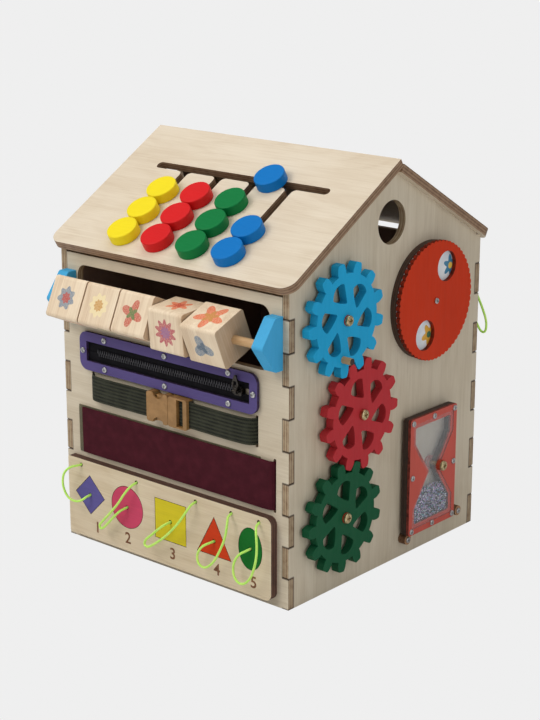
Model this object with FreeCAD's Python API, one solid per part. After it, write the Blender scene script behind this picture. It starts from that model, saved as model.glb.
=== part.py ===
import FreeCAD, Part
import math
import os

# House-shaped wooden busy board. Millimetres, +Z up, origin at the middle of the base.
# The front wall faces -Y (cubes, zipper, buckle, flap, lacing panel).
# The right wall faces +X (gears, spinner, hourglass).

# Box of the house
house_width = 285.0
house_depth = 287.0
wall_thickness = 7.0
wall_top_gap = 6.93
finger_pitch = 30.0
finger_count = 10
finger_corner = 1.6
floor_thickness = 6.0

# Roof
roof_pitch = 30.5
roof_thickness = 8.0
roof_width = 300.0
roof_front_length = 180.0
roof_corner = 13.0
eave_reach = 9.7
eave_height = 300.0
gable_window_radius = 20.5
gable_window_drop = 47.96
batten_side = 14.0
batten_start = 20.2
batten_end_gap = 25.0

# Sliders in the roof slots
slot_width = 8.6
cross_slot_half = 107.0
cross_slot_run = 124.0
lane_pitch = 43.5
first_lane = -66.5
lane_start = 20.7
lane_mouth_round = 5.0
knob_radius = 15.0
knob_height = 10.0
knob_round = 1.2
knob_gap = 0.5
stem_radius = 4.0
stem_bore = 7.0
retainer_radius = 9.0
retainer_height = 3.0
sliding_gap = 0.3
cross_knob_place = 39.6

# Cubes on their bar
cube_side = 40.0
cube_length = 42.0
cube_gap = 1.25
cube_round = 3.4
cube_end_round = 0.6
first_cube_left = -120.0
cube_tilts = (-24.0, -24.0, -24.0, 5.0, 22.5)
bar_radius = 4.0
bar_reach = 17.4
bar_height = 248.5
bar_clearance = 0.08
bracket_thickness = 12.5
bracket_depth = 27.7
bracket_height = 48.5
bracket_flat = 10.0
bracket_round = 3.0
bracket_outer = 135.5
front_window_half = 120.5
front_window_below_bar = 28.5
front_window_above_bar = 31.0
front_window_round = 10.0

# Gears
gear_teeth = 13
gear_module = 7.4
gear_addendum = 4.4
gear_dedendum = 5.6
gear_backlash = 0.9
gear_pressure_angle = 20.0
gear_thickness = 8.0
gear_first_tooth = 17.0
gear_tip_round = 2.0
blue_gear_y = -77.7
blue_gear_z = 259.0
blue_to_red_angle = -75.4
red_to_green_angle = -103.9
gear_windows = 6
window_inner_radius = 15.5
window_outer_radius = 34.0
window_span = 44.0
blue_window_turn = 50.0
red_window_turn = 44.0
green_window_turn = 32.0
peg_radius = 3.2
peg_length = 10.5
peg_circle = 35.5
peg_angle = -98.0

# Things that the gears, the spinner and the hourglass turn on
washer_radius = 7.0
washer_thickness = 3.0
axle_radius = 2.5
axle_clearance = 0.08
axle_head_radius = 4.9
axle_head_height = 2.6
axle_collar = 1.2
turning_gap = 0.35

# Spinner
spinner_y = 56.6
spinner_z = 250.5
spinner_radius = 57.4
spinner_thickness = 4.0
spinner_serrations = 60
serration_depth = 1.5
spinner_window_radius = 14.6
spinner_window_circle = 34.5
spinner_window_angle = 62.5
picture_radius = 55.5
picture_thickness = 0.8
backing_radius = 56.5
backing_thickness = 6.0

# Hourglass
hourglass_width = 74.8
hourglass_height = 117.4
hourglass_y = 57.3
hourglass_z = 82.3
hourglass_layer = 3.0
hourglass_corner = 2.5
bulb_half_width = 28.2
bulb_half_height = 48.8
bulb_straight = 16.0
neck_half_width = 5.4
pane_thickness = 0.8
pane_margin = 4.0
pivot_y = 66.5
pivot_z = 85.1
pivot_collar_height = 4.5
pivot_collar_radius = 5.0
bead_fill = 0.62
stop_radius = 5.0
stop_height = 8.0
stop_gap = 0.25
stop_inset = 5.0
hourglass_screw_inset = 4.1

# Small screws
screw_radius = 1.5
screw_head_radius = 2.9
screw_head_height = 1.4
screw_clearance = 0.05
screw_bite = 5.0

# Zipper
zip_x = -4.0
zip_z = 196.8
zip_frame_length = 226.0
zip_frame_height = 38.0
zip_frame_thickness = 3.0
zip_frame_rim = 9.3
zip_frame_round = 9.5
zip_screw_pitch = 79.0
tape_thickness = 0.8
tape_overlap = 5.0
tape_split = 5.5
chain_width = 5.6
chain_height = 1.7
chain_start = 14.0
zip_slider_stand_off = 13.7
zip_slider_length = 10.0
zip_slider_width = 9.0
zip_slider_plate = 1.2
zip_slider_gap = 0.3
relief_depth = 2.4
relief_height = 13.0
pull_length = 15.0
pull_width = 8.0
pull_thickness = 1.4
pull_bar_radius = 0.7
pull_neck = 2.0
pull_bar_gap = 2.0

# Strap and buckle
strap_width = 25.0
strap_thickness = 1.8
strap_z = 162.0
strap_left_slot = -103.0
strap_right_slot = 105.5
strap_slot_width = 3.2
strap_slot_height = 30.0
buckle_left = -22.0
buckle_split = 5.0
buckle_right = 29.0
buckle_height = 29.0
buckle_thickness = 9.0
buckle_wall = 1.6
buckle_lift = 1.2
buckle_bar = 9.5
buckle_round = 2.5
press_radius = 7.0
press_depth = 5.5
press_place = 14.6
prong_length = 16.0

# Touch strip
flap_left = -116.5
flap_slot_x = 126.5
flap_height = 46.0
flap_z = 115.6
flap_thickness = 1.6
flap_lift = 1.9
base_left = -123.5
base_thickness = 1.4
base_end_gap = 12.0
base_margin = 0.8
flap_slot_width = 3.0
flap_hinge_x = 122.0
flap_hinge_gap = 0.2

# Lacing panel and its inserts
panel_left = -134.0
panel_right = 129.0
panel_low = 6.8
panel_high = 86.5
panel_thickness = 8.0
panel_left_round = 2.0
panel_right_round = 7.0
insert_gap = 0.55
insert_row = 51.8
diamond_x = -104.2
diamond_half = 19.6
circle_x = -53.1
circle_radius = 20.8
square_x = 4.3
square_side = 39.4
triangle_x = 59.7
triangle_base = 41.0
triangle_height = 37.0
oval_x = 104.1
oval_half_width = 13.9
oval_half_height = 20.0
lace_hole_radius = 2.0
lace_hole_row = 80.5
lace_holes = (-115.6, -39.9, 37.0, 81.0, 114.3)

# Lime cords
cord_radius = 1.15
back_lace_row = 251.0
back_lace_left = 107.0
back_lace_right = 124.0

# Worked out from the sizes above
front_face = -house_depth / 2
back_face = house_depth / 2
right_face = house_width / 2
wall_height_fingers = finger_pitch * finger_count
pitch_angle = math.radians(roof_pitch)
roof_rise = math.tan(pitch_angle)
eave_y = house_depth / 2 + eave_reach
roof_drop = roof_thickness / math.cos(pitch_angle)
gear_distance = gear_module * gear_teeth
gear_plane = right_face + washer_thickness
panel_front = front_face - panel_thickness
bar_y = front_face - bar_reach
hourglass_back = right_face + washer_thickness
spinner_back = right_face + backing_thickness + picture_thickness + turning_gap

X_AXIS = FreeCAD.Vector(1, 0, 0)
Y_AXIS = FreeCAD.Vector(0, 1, 0)
Z_AXIS = FreeCAD.Vector(0, 0, 1)


def vec(x, y, z):
    """A point or direction."""
    return FreeCAD.Vector(x, y, z)


def block(x0, x1, y0, y1, z0, z1):
    """A box from its lowest to its highest corner."""
    return Part.makeBox(x1 - x0, y1 - y0, z1 - z0, vec(x0, y0, z0))


def rod(x, y, z, direction, radius, length):
    """A cylinder that starts at a point and runs along a direction."""
    return Part.makeCylinder(radius, length, vec(x, y, z), direction)


def plate(points, push):
    """A flat polygon pushed along a vector."""
    wire = Part.makePolygon(points + [points[0]])
    return Part.Face(wire).extrude(push)


def upright_edges(shape, axis, keep):
    """The edges that run along an axis and whose middle passes a test."""
    chosen = []
    for edge in shape.Edges:
        if len(edge.Vertexes) != 2 or not isinstance(edge.Curve, Part.Line):
            continue
        run = edge.Vertexes[1].Point.sub(edge.Vertexes[0].Point)
        if run.cross(axis).Length > 1e-6:
            continue
        if keep(edge.CenterOfMass):
            chosen.append(edge)
    return chosen


def rounded(shape, axis, radius, keep=lambda point: True):
    """A shape with the chosen edges along an axis rounded."""
    edges = upright_edges(shape, axis, keep)
    return shape.makeFillet(radius, edges) if edges else shape


def turned_about_x(shape, y, z, angle):
    """A shape turned about a line along X, by degrees."""
    shape.rotate(vec(0, y, z), X_AXIS, angle)
    return shape


def under_roof(y):
    """Height of the roof's underside over a place along Y."""
    return eave_height + (eave_y - abs(y)) * roof_rise - roof_drop


long_wall_height = under_roof(back_face) - wall_top_gap
gable_window_height = under_roof(0) - gable_window_drop
front_window_low = bar_height - front_window_below_bar
front_window_high = bar_height + front_window_above_bar


def save(node, *solids):
    """Write one node from its separate solids."""
    shape = solids[0] if len(solids) == 1 else Part.makeCompound(list(solids))
    shape.exportStep("parts/" + node + ".step")


def on_front_roof(shape):
    """Carry a shape from the flat roof frame (X, up the slope, outwards) to the front slope."""
    shape.rotate(vec(0, 0, 0), X_AXIS, roof_pitch)
    shape.translate(vec(0, -eave_y, eave_height))
    return shape


def screw(x, y, z, inward, bite, radius=screw_radius, head_radius=screw_head_radius,
          head_height=screw_head_height):
    """A pan head screw: head on a face at the point, shank along the inward direction, crossed recess."""
    back = inward * -1.0
    shank = Part.makeCylinder(radius, bite, vec(x, y, z), inward)
    head = Part.makeCylinder(head_radius, head_height, vec(x, y, z), back)
    rim = [edge for edge in head.Edges
           if abs((edge.CenterOfMass - vec(x, y, z)).dot(back) - head_height) < 1e-6]
    head = head.makeFillet(head_height * 0.6, rim)
    recess_depth = head_height * 0.6
    arm = head_radius * 1.1
    blade = head_radius * 0.28
    top = vec(x, y, z) + back * (head_height - recess_depth)
    side = X_AXIS if abs(inward.x) < 0.5 else Y_AXIS
    other = inward.cross(side)
    cross = None
    for long_way, short_way in ((side, other), (other, side)):
        corners = [long_way * (i * arm / 2) + short_way * (j * blade / 2) + top
                   for i, j in ((-1, -1), (1, -1), (1, 1), (-1, 1))]
        bar = plate(corners, back * (recess_depth + 1.0))
        cross = bar if cross is None else cross.fuse(bar)
    return head.fuse(shank).removeSplitter().cut(cross)


def shank_hole(x, y, z, inward, depth, radius=screw_radius):
    """The hole that a screw's shank sits in."""
    return Part.makeCylinder(radius + screw_clearance, depth, vec(x, y, z), inward)


# Places of the small screws, used by the pieces that they hold and by the screws themselves
zip_low = zip_z - zip_frame_height / 2
zip_high = zip_z + zip_frame_height / 2
zip_left = zip_x - zip_frame_length / 2
zip_right = zip_x + zip_frame_length / 2
zip_slider_place = zip_right - zip_frame_rim - zip_slider_stand_off
zip_screw_places = [(zip_x + step * zip_screw_pitch, height)
                    for step in (-1, 0, 1)
                    for height in (zip_low + zip_frame_rim / 2, zip_high - zip_frame_rim / 2)]
zip_screw_places += [(zip_left + zip_frame_rim / 2, zip_z), (zip_right - zip_frame_rim / 2, zip_z)]
bracket_middle = bracket_outer - bracket_thickness / 2
bracket_screw_places = [(side * bracket_middle, bar_height + step * bracket_height * 0.3)
                        for side in (-1, 1) for step in (-1, 1)]
batten_screw_runs = (40.0, 140.0)
batten_x = right_face - wall_thickness - batten_side / 2

blue_gear = (blue_gear_y, blue_gear_z)
red_gear = (blue_gear[0] + gear_distance * math.cos(math.radians(blue_to_red_angle)),
            blue_gear[1] + gear_distance * math.sin(math.radians(blue_to_red_angle)))
green_gear = (red_gear[0] + gear_distance * math.cos(math.radians(red_to_green_angle)),
              red_gear[1] + gear_distance * math.sin(math.radians(red_to_green_angle)))
axle_places = [blue_gear, red_gear, green_gear, (pivot_y, pivot_z)]

hourglass_left = hourglass_y - hourglass_width / 2
hourglass_low = hourglass_z - hourglass_height / 2
hourglass_high = hourglass_z + hourglass_height / 2
left_stop = (hourglass_left + stop_inset, hourglass_low - stop_gap - stop_radius)
right_stop = (2 * pivot_y - left_stop[0], 2 * pivot_z - hourglass_high - stop_gap - stop_radius)
stop_places = [left_stop, right_stop]


def finger_rows(for_long_wall):
    """The heights between which a wall's fingers reach the corner."""
    heights = []
    for step in range(finger_count):
        if (step % 2 == 0) == for_long_wall:
            heights.append((step * finger_pitch, (step + 1) * finger_pitch))
    return heights


def long_wall(face_y, inward):
    """The front or back wall: a plate with fingers at its two ends."""
    y0, y1 = sorted((face_y, face_y + inward * wall_thickness))
    half = right_face - wall_thickness
    wall = block(-half, half, y0, y1, 0, long_wall_height)
    for low, high in finger_rows(True):
        wall = wall.fuse(block(-right_face, right_face, y0, y1, low, min(high, long_wall_height)))
    wall = wall.removeSplitter()
    return rounded(wall, Y_AXIS, finger_corner,
                   lambda p: abs(abs(p.x) - right_face) < 0.01 and p.z > 1.0)


def gable_wall(face_x, inward):
    """A side wall: a gable plate with fingers at its two ends and a round window."""
    x0, x1 = sorted((face_x, face_x + inward * wall_thickness))
    half = back_face - wall_thickness
    ridge = under_roof(0)
    outline = [vec(x0, -back_face, 0), vec(x0, back_face, 0), vec(x0, back_face, under_roof(back_face)),
               vec(x0, 0, ridge), vec(x0, -back_face, under_roof(back_face))]
    wall = plate(outline, vec(x1 - x0, 0, 0))
    for low, high in finger_rows(True):
        for side in (-1, 1):
            near, far = sorted((side * half, side * (back_face + 1)))
            wall = wall.cut(block(x0 - 1, x1 + 1, near, far, low, high))
    wall = rounded(wall, X_AXIS, finger_corner,
                   lambda p: abs(abs(p.y) - back_face) < 0.01 and 1.0 < p.z < wall_height_fingers - 5)
    return wall.cut(rod(x0 - 1, 0, gable_window_height, X_AXIS, gable_window_radius, wall_thickness + 2))


def capsule_slot(x, z, width, height, y0, y1):
    """An upright slot with rounded ends, cut through along Y."""
    body = block(x - width / 2, x + width / 2, y0, y1, z - height / 2, z + height / 2)
    return rounded(body, Y_AXIS, width * 0.49)


def build_walls():
    """The four walls, the floor and the battens."""
    front = long_wall(front_face, 1)
    window = block(-front_window_half, front_window_half, front_face - 1, front_face + wall_thickness + 1,
                   front_window_low, front_window_high)
    front = front.cut(rounded(window, Y_AXIS, front_window_round))
    relief_left = zip_left + zip_frame_rim
    relief_right = zip_right - zip_frame_rim
    front = front.cut(block(relief_left, relief_right, front_face - 1, front_face + relief_depth,
                            zip_z - relief_height / 2, zip_z + relief_height / 2))
    for x in (strap_left_slot, strap_right_slot):
        front = front.cut(capsule_slot(x, strap_z, strap_slot_width, strap_slot_height,
                                       front_face - 1, front_face + wall_thickness + 1))
    front = front.cut(capsule_slot(flap_slot_x, flap_z, flap_slot_width, flap_height + 5.0,
                                   front_face - 1, front_face + wall_thickness + 1))
    for x, z in zip_screw_places:
        front = front.cut(shank_hole(x, front_face - 1, z, Y_AXIS, wall_thickness))
    for x, z in bracket_screw_places:
        front = front.cut(shank_hole(x, front_face - 1, z, Y_AXIS, wall_thickness + 2))
    save("front_wall", front)

    back = long_wall(back_face, -1)
    for x in (back_lace_left, back_lace_right):
        back = back.cut(rod(x, back_face + 1, back_lace_row, Y_AXIS * -1.0, lace_hole_radius,
                            wall_thickness + 2))
    save("back_wall", back)

    right = gable_wall(right_face, -1)
    for y, z in axle_places:
        right = right.cut(rod(right_face + 1, y, z, X_AXIS * -1.0, axle_radius + screw_clearance,
                              screw_bite + 1))
    right = right.cut(shank_hole(right_face + 1, spinner_y, spinner_z, X_AXIS * -1.0, screw_bite + 1))
    for y, z in stop_places:
        right = right.cut(shank_hole(right_face + 1, y, z, X_AXIS * -1.0, screw_bite + 1))
    save("right_wall", right)
    save("left_wall", gable_wall(-right_face, 1))

    inner_x = right_face - wall_thickness
    inner_y = back_face - wall_thickness
    save("floor_panel", block(-inner_x, inner_x, -inner_y, inner_y, 0, floor_thickness))


def flat_roof(length):
    """A roof panel in the flat roof frame, top at zero, eave edge along X."""
    panel = block(-roof_width / 2, roof_width / 2, 0, length, -roof_thickness, 0)
    return rounded(panel, Z_AXIS, roof_corner, lambda p: p.y < 1.0)


def lane_places():
    """The X places of the four lanes."""
    return [first_lane + lane_pitch * step for step in range(4)]


def build_roof():
    """The two roof panels, slotted in front, and the battens that they are screwed to."""
    front = flat_roof(roof_front_length)
    below = -roof_thickness - 1
    high_edge = cross_slot_run + slot_width / 2
    low_edge = cross_slot_run - slot_width / 2
    cross = block(-cross_slot_half, cross_slot_half, low_edge, high_edge, below, 1)
    front = front.cut(rounded(cross, Z_AXIS, slot_width * 0.49))
    for x in lane_places():
        lane = block(x - slot_width / 2, x + slot_width / 2, lane_start, cross_slot_run, below, 1)
        lane = rounded(lane, Z_AXIS, slot_width * 0.49, lambda p: p.y < cross_slot_run - 1)
        front = front.cut(lane)
    front = rounded(front.removeSplitter(), Z_AXIS, lane_mouth_round,
                    lambda p: abs(p.y - low_edge) < 0.01 and abs(p.x) < cross_slot_half - 5)
    for x in (-batten_x, batten_x):
        for run in batten_screw_runs:
            front = front.cut(rod(x, run, -roof_thickness - 1, Z_AXIS, screw_radius + screw_clearance, 5.0))

    overlap_y = -eave_y + roof_front_length * math.cos(pitch_angle) + roof_thickness * math.sin(pitch_angle)
    overlap_z = (eave_height + roof_front_length * math.sin(pitch_angle)
                 - roof_thickness * math.cos(pitch_angle))
    back_length = ((eave_y - overlap_y) * math.cos(pitch_angle)
                   + (overlap_z - eave_height) * math.sin(pitch_angle))
    back = flat_roof(back_length)
    for x in (-batten_x, batten_x):
        for run in batten_screw_runs:
            back = back.cut(rod(x, run, -roof_thickness - 1, Z_AXIS, screw_radius + screw_clearance, 5.0))
    save("roof_front", on_front_roof(front))
    back = on_front_roof(back)
    back.rotate(vec(0, 0, 0), Z_AXIS, 180)
    save("roof_back", back)

    battens = []
    for x in (-batten_x, batten_x):
        for turn in (0, 180):
            batten = block(x - batten_side / 2, x + batten_side / 2,
                           batten_start, roof_front_length - batten_end_gap,
                           -roof_thickness - batten_side, -roof_thickness)
            for run in batten_screw_runs:
                batten = batten.cut(rod(x, run, -roof_thickness - batten_side - 1, Z_AXIS,
                                        screw_radius + screw_clearance, batten_side + 2))
            batten = on_front_roof(batten)
            batten.rotate(vec(0, 0, 0), Z_AXIS, turn)
            battens.append(batten)
    save("roof_battens", *battens)


def slider_solids(x, run):
    """A slider's knob, its stem, its retainer and the retainer's screw, on the front slope."""
    knob = rod(x, run, sliding_gap, Z_AXIS, knob_radius, knob_height)
    top = [edge for edge in knob.Edges if abs(edge.CenterOfMass.z - sliding_gap - knob_height) < 1e-6]
    knob = knob.makeFillet(knob_round, top)
    stem_end = -roof_thickness - sliding_gap
    stem = rod(x, run, stem_end, Z_AXIS, stem_radius, sliding_gap * 2 + roof_thickness)
    stem = stem.cut(rod(x, run, stem_end, Z_AXIS, screw_radius + screw_clearance, stem_bore))
    retainer = rod(x, run, stem_end - retainer_height, Z_AXIS, retainer_radius, retainer_height)
    retainer = retainer.cut(rod(x, run, stem_end - retainer_height - 1, Z_AXIS,
                                screw_radius + screw_clearance, retainer_height + 2))
    pin = screw(x, run, stem_end - retainer_height, Z_AXIS, retainer_height + stem_bore - 1.0)
    return [on_front_roof(part) for part in (knob, stem, retainer, pin)]


def build_sliders():
    """Four colours of three knobs: two and a half lanes of three, and a blue one on the cross slot."""
    stack = knob_radius * 2 + knob_gap
    lowest = lane_start + slot_width / 2
    lanes = lane_places()
    for colour, x, count in zip(("yellow", "red", "green", "blue"), lanes, (3, 3, 3, 2)):
        for step in range(count):
            save("slider_" + colour + "_" + str(step + 1), *slider_solids(x, lowest + stack * step))
    save("slider_blue_3", *slider_solids(cross_knob_place, cross_slot_run))


def build_cubes():
    """Five cubes on their bar, between two blocks."""
    bore = bar_radius + bar_clearance
    for step, tilt in enumerate(cube_tilts):
        left = first_cube_left + (cube_length + cube_gap) * step
        half = cube_side / 2
        cube = block(left, left + cube_length, bar_y - half, bar_y + half,
                     bar_height - half, bar_height + half)
        cube = rounded(cube, X_AXIS, cube_round)
        ends = [edge for edge in cube.Edges if edge.BoundBox.XLength < 1e-6]
        cube = cube.makeFillet(cube_end_round, ends)
        cube = cube.cut(rod(left - 1, bar_y, bar_height, X_AXIS, bore, cube_length + 2))
        save("cube_" + str(step + 1), turned_about_x(cube, bar_y, bar_height, tilt))

    bar_half = bracket_outer - bracket_thickness * 0.35
    save("cube_dowel", rod(-bar_half, bar_y, bar_height, X_AXIS, bar_radius, 2 * bar_half))

    low = bar_height - bracket_height / 2
    high = bar_height + bracket_height / 2
    tip = front_face - bracket_depth
    shoulder = front_face - bracket_flat
    brackets = []
    for side in (-1, 1):
        inner = side * (bracket_outer - bracket_thickness)
        outline = [vec(inner, front_face, low), vec(inner, shoulder, low), vec(inner, tip, bar_height),
                   vec(inner, shoulder, high), vec(inner, front_face, high)]
        body = plate(outline, vec(side * bracket_thickness, 0, 0))
        body = rounded(body, X_AXIS, bracket_round, lambda p: p.y < front_face - 1)
        body = body.cut(rod(-bar_half, bar_y, bar_height, X_AXIS, bar_radius, 2 * bar_half))
        for x, z in bracket_screw_places:
            body = body.cut(shank_hole(x, front_face + 1, z, Y_AXIS * -1.0, screw_bite + 1))
        brackets.append(body)
    save("cube_brackets", *brackets)


def involute_point(base_radius, radius, offset):
    """A point of an involute flank at a radius, turned by an offset angle."""
    reach = math.sqrt(max((radius / base_radius) ** 2 - 1.0, 0.0))
    spread = reach - math.atan(reach)
    return radius, offset - spread


def gear_face(first_tooth):
    """The gear's outline in the YZ plane about the origin, teeth from involute flanks."""
    pitch_radius = gear_module * gear_teeth / 2
    outer = pitch_radius + gear_addendum
    root = pitch_radius - gear_dedendum
    base = pitch_radius * math.cos(math.radians(gear_pressure_angle))
    low = max(base, root + 0.5)
    reach = math.sqrt((pitch_radius / base) ** 2 - 1.0)
    half_tooth = math.pi / (2 * gear_teeth) - gear_backlash / (2 * pitch_radius) + reach - math.atan(reach)
    step = 2 * math.pi / gear_teeth
    edges = []

    def point(radius, angle):
        return vec(0, radius * math.cos(angle), radius * math.sin(angle))

    for tooth in range(gear_teeth):
        middle = math.radians(first_tooth) + tooth * step
        radii = (low, (low + outer) / 2, outer)
        flank = [involute_point(base, radius, half_tooth) for radius in radii]
        falling = [point(radius, middle - angle) for radius, angle in flank]
        rising = [point(radius, middle + angle) for radius, angle in flank]
        root_half = flank[0][1]
        next_root = middle + step - root_half
        edges.append(Part.LineSegment(point(root, middle - root_half), falling[0]).toShape())
        edges.append(Part.Arc(falling[0], falling[1], falling[2]).toShape())
        edges.append(Part.Arc(falling[2], point(outer, middle), rising[2]).toShape())
        edges.append(Part.Arc(rising[2], rising[1], rising[0]).toShape())
        edges.append(Part.LineSegment(rising[0], point(root, middle + root_half)).toShape())
        gap_middle = middle + step / 2
        edges.append(Part.Arc(point(root, middle + root_half), point(root, gap_middle),
                              point(root, next_root)).toShape())
    return Part.Face(Part.Wire(edges))


def gear_window(angle):
    """One curved three-cornered window of a gear, as a flat face about the origin."""
    half = math.radians(window_span) / 2
    turn = math.radians(angle)

    def point(radius, swing):
        return vec(0, radius * math.cos(turn + swing), radius * math.sin(turn + swing))

    first = point(window_inner_radius, -half * 0.9)
    second = point(window_outer_radius, -half * 0.55)
    third = point(window_outer_radius * 0.84, half * 1.05)
    edges = [Part.LineSegment(first, second).toShape(),
             Part.Arc(second, point(window_outer_radius * 1.03, half * 0.35), third).toShape(),
             Part.Arc(third, point(window_inner_radius * 1.22, half * 0.35), first).toShape()]
    return Part.Face(Part.Wire(edges))


def gear_solid(place, first_tooth, window_turn):
    """A wooden gear on the right wall."""
    gear = gear_face(first_tooth).extrude(vec(gear_thickness, 0, 0))
    outer = gear_module * gear_teeth / 2 + gear_addendum
    tips = upright_edges(gear, X_AXIS, lambda p: math.hypot(p.y, p.z) > outer - 0.01)
    gear = gear.makeFillet(gear_tip_round, tips)
    for step in range(gear_windows):
        window = gear_window(window_turn + step * 360.0 / gear_windows)
        window = window.extrude(vec(gear_thickness + 2, 0, 0))
        window.translate(vec(-1, 0, 0))
        window = rounded(window, X_AXIS, 1.5)
        gear = gear.cut(window)
    gear = gear.cut(rod(-1, 0, 0, X_AXIS, axle_radius + axle_clearance, gear_thickness + 2))
    gear.translate(vec(gear_plane + turning_gap, place[0], place[1]))
    return gear


def build_gears():
    """Three meshed gears, the peg on the blue one, and their screws and washers."""
    tooth = 360.0 / gear_teeth
    red_first = 2 * blue_to_red_angle + 180.0 - gear_first_tooth + tooth / 2
    green_first = 2 * red_to_green_angle + 180.0 - red_first + tooth / 2
    blue = gear_solid(blue_gear, gear_first_tooth, blue_window_turn)
    peg_y = blue_gear[0] + peg_circle * math.cos(math.radians(peg_angle))
    peg_z = blue_gear[1] + peg_circle * math.sin(math.radians(peg_angle))
    gear_front = gear_plane + turning_gap + gear_thickness
    peg_foot = gear_front - gear_thickness / 2
    blue = blue.cut(rod(peg_foot, peg_y, peg_z, X_AXIS, peg_radius, gear_thickness))
    save("gear_blue", blue)
    save("gear_red", gear_solid(red_gear, red_first, red_window_turn))
    save("gear_green", gear_solid(green_gear, green_first, green_window_turn))
    peg = rod(peg_foot, peg_y, peg_z, X_AXIS, peg_radius, peg_length + gear_thickness / 2)
    end = [edge for edge in peg.Edges if edge.CenterOfMass.x > peg_foot + peg_length]
    save("gear_peg", peg.makeFillet(0.8, end))

    collars = []
    screws = []
    hourglass_front_plane = hourglass_back + turning_gap + 3 * hourglass_layer
    stacks = [(place, gear_front, axle_collar) for place in (blue_gear, red_gear, green_gear)]
    stacks.append(((pivot_y, pivot_z), hourglass_front_plane, pivot_collar_height))
    for (y, z), front, collar in stacks:
        washer = rod(right_face, y, z, X_AXIS, washer_radius, washer_thickness)
        washer = washer.cut(rod(right_face - 1, y, z, X_AXIS, axle_radius + screw_clearance,
                                washer_thickness + 2))
        ring = rod(front + turning_gap, y, z, X_AXIS, pivot_collar_radius, collar)
        ring = ring.cut(rod(front, y, z, X_AXIS, axle_radius + screw_clearance, collar + 2))
        head_seat = front + turning_gap + collar
        collars += [washer, ring]
        screws.append(screw(head_seat, y, z, X_AXIS * -1.0, head_seat - right_face + screw_bite,
                            axle_radius, axle_head_radius, axle_head_height))
    save("axle_spacers", *collars)
    save("axle_screws", *screws)


def build_spinner():
    """The backing, the picture disc and the serrated wheel with its two windows."""
    backing = rod(right_face, spinner_y, spinner_z, X_AXIS, backing_radius, backing_thickness)
    hole = rod(right_face - 1, spinner_y, spinner_z, X_AXIS, screw_radius + screw_clearance,
               2 * spinner_radius)
    save("spinner_backing", backing.cut(hole))
    picture = rod(right_face + backing_thickness, spinner_y, spinner_z, X_AXIS, picture_radius,
                  picture_thickness)
    save("spinner_picture", picture.cut(hole))

    step = 2 * math.pi / spinner_serrations
    inner = spinner_radius - serration_depth
    edges = []
    for index in range(spinner_serrations):
        angles = (index * step, (index + 0.5) * step, (index + 1) * step)
        radii = (inner, spinner_radius, inner)
        points = [vec(spinner_back, spinner_y + radius * math.cos(angle),
                      spinner_z + radius * math.sin(angle))
                  for radius, angle in zip(radii, angles)]
        edges.append(Part.Arc(points[0], points[1], points[2]).toShape())
    wheel = Part.Face(Part.Wire(edges)).extrude(vec(spinner_thickness, 0, 0))
    for turn in (0, 180):
        angle = math.radians(spinner_window_angle + turn)
        wheel = wheel.cut(rod(spinner_back - 1, spinner_y + spinner_window_circle * math.cos(angle),
                              spinner_z + spinner_window_circle * math.sin(angle), X_AXIS,
                              spinner_window_radius, spinner_thickness + 2))
    wheel = wheel.cut(rod(spinner_back - 1, spinner_y, spinner_z, X_AXIS, screw_radius + axle_clearance,
                          spinner_thickness + 2))
    save("spinner_wheel", wheel)


def bulb_face(x, grow):
    """The hourglass's double bulb as a flat face at a place along X, grown by a margin."""
    half = bulb_half_width + grow
    top = bulb_half_height + grow
    shoulder = bulb_half_height - bulb_straight
    neck = neck_half_width + grow
    outline = [(-half, -top), (half, -top), (half, -shoulder), (neck, 0), (half, shoulder), (half, top),
               (-half, top), (-half, shoulder), (-neck, 0), (-half, -shoulder)]
    points = [vec(x, hourglass_y + y, hourglass_z + z) for y, z in outline]
    return Part.Face(Part.makePolygon(points + [points[0]]))


def hourglass_plate(x, thickness):
    """One full layer of the hourglass, with rounded corners."""
    layer = block(x, x + thickness, hourglass_left, hourglass_left + hourglass_width,
                  hourglass_low, hourglass_high)
    return rounded(layer, X_AXIS, hourglass_corner)


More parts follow.
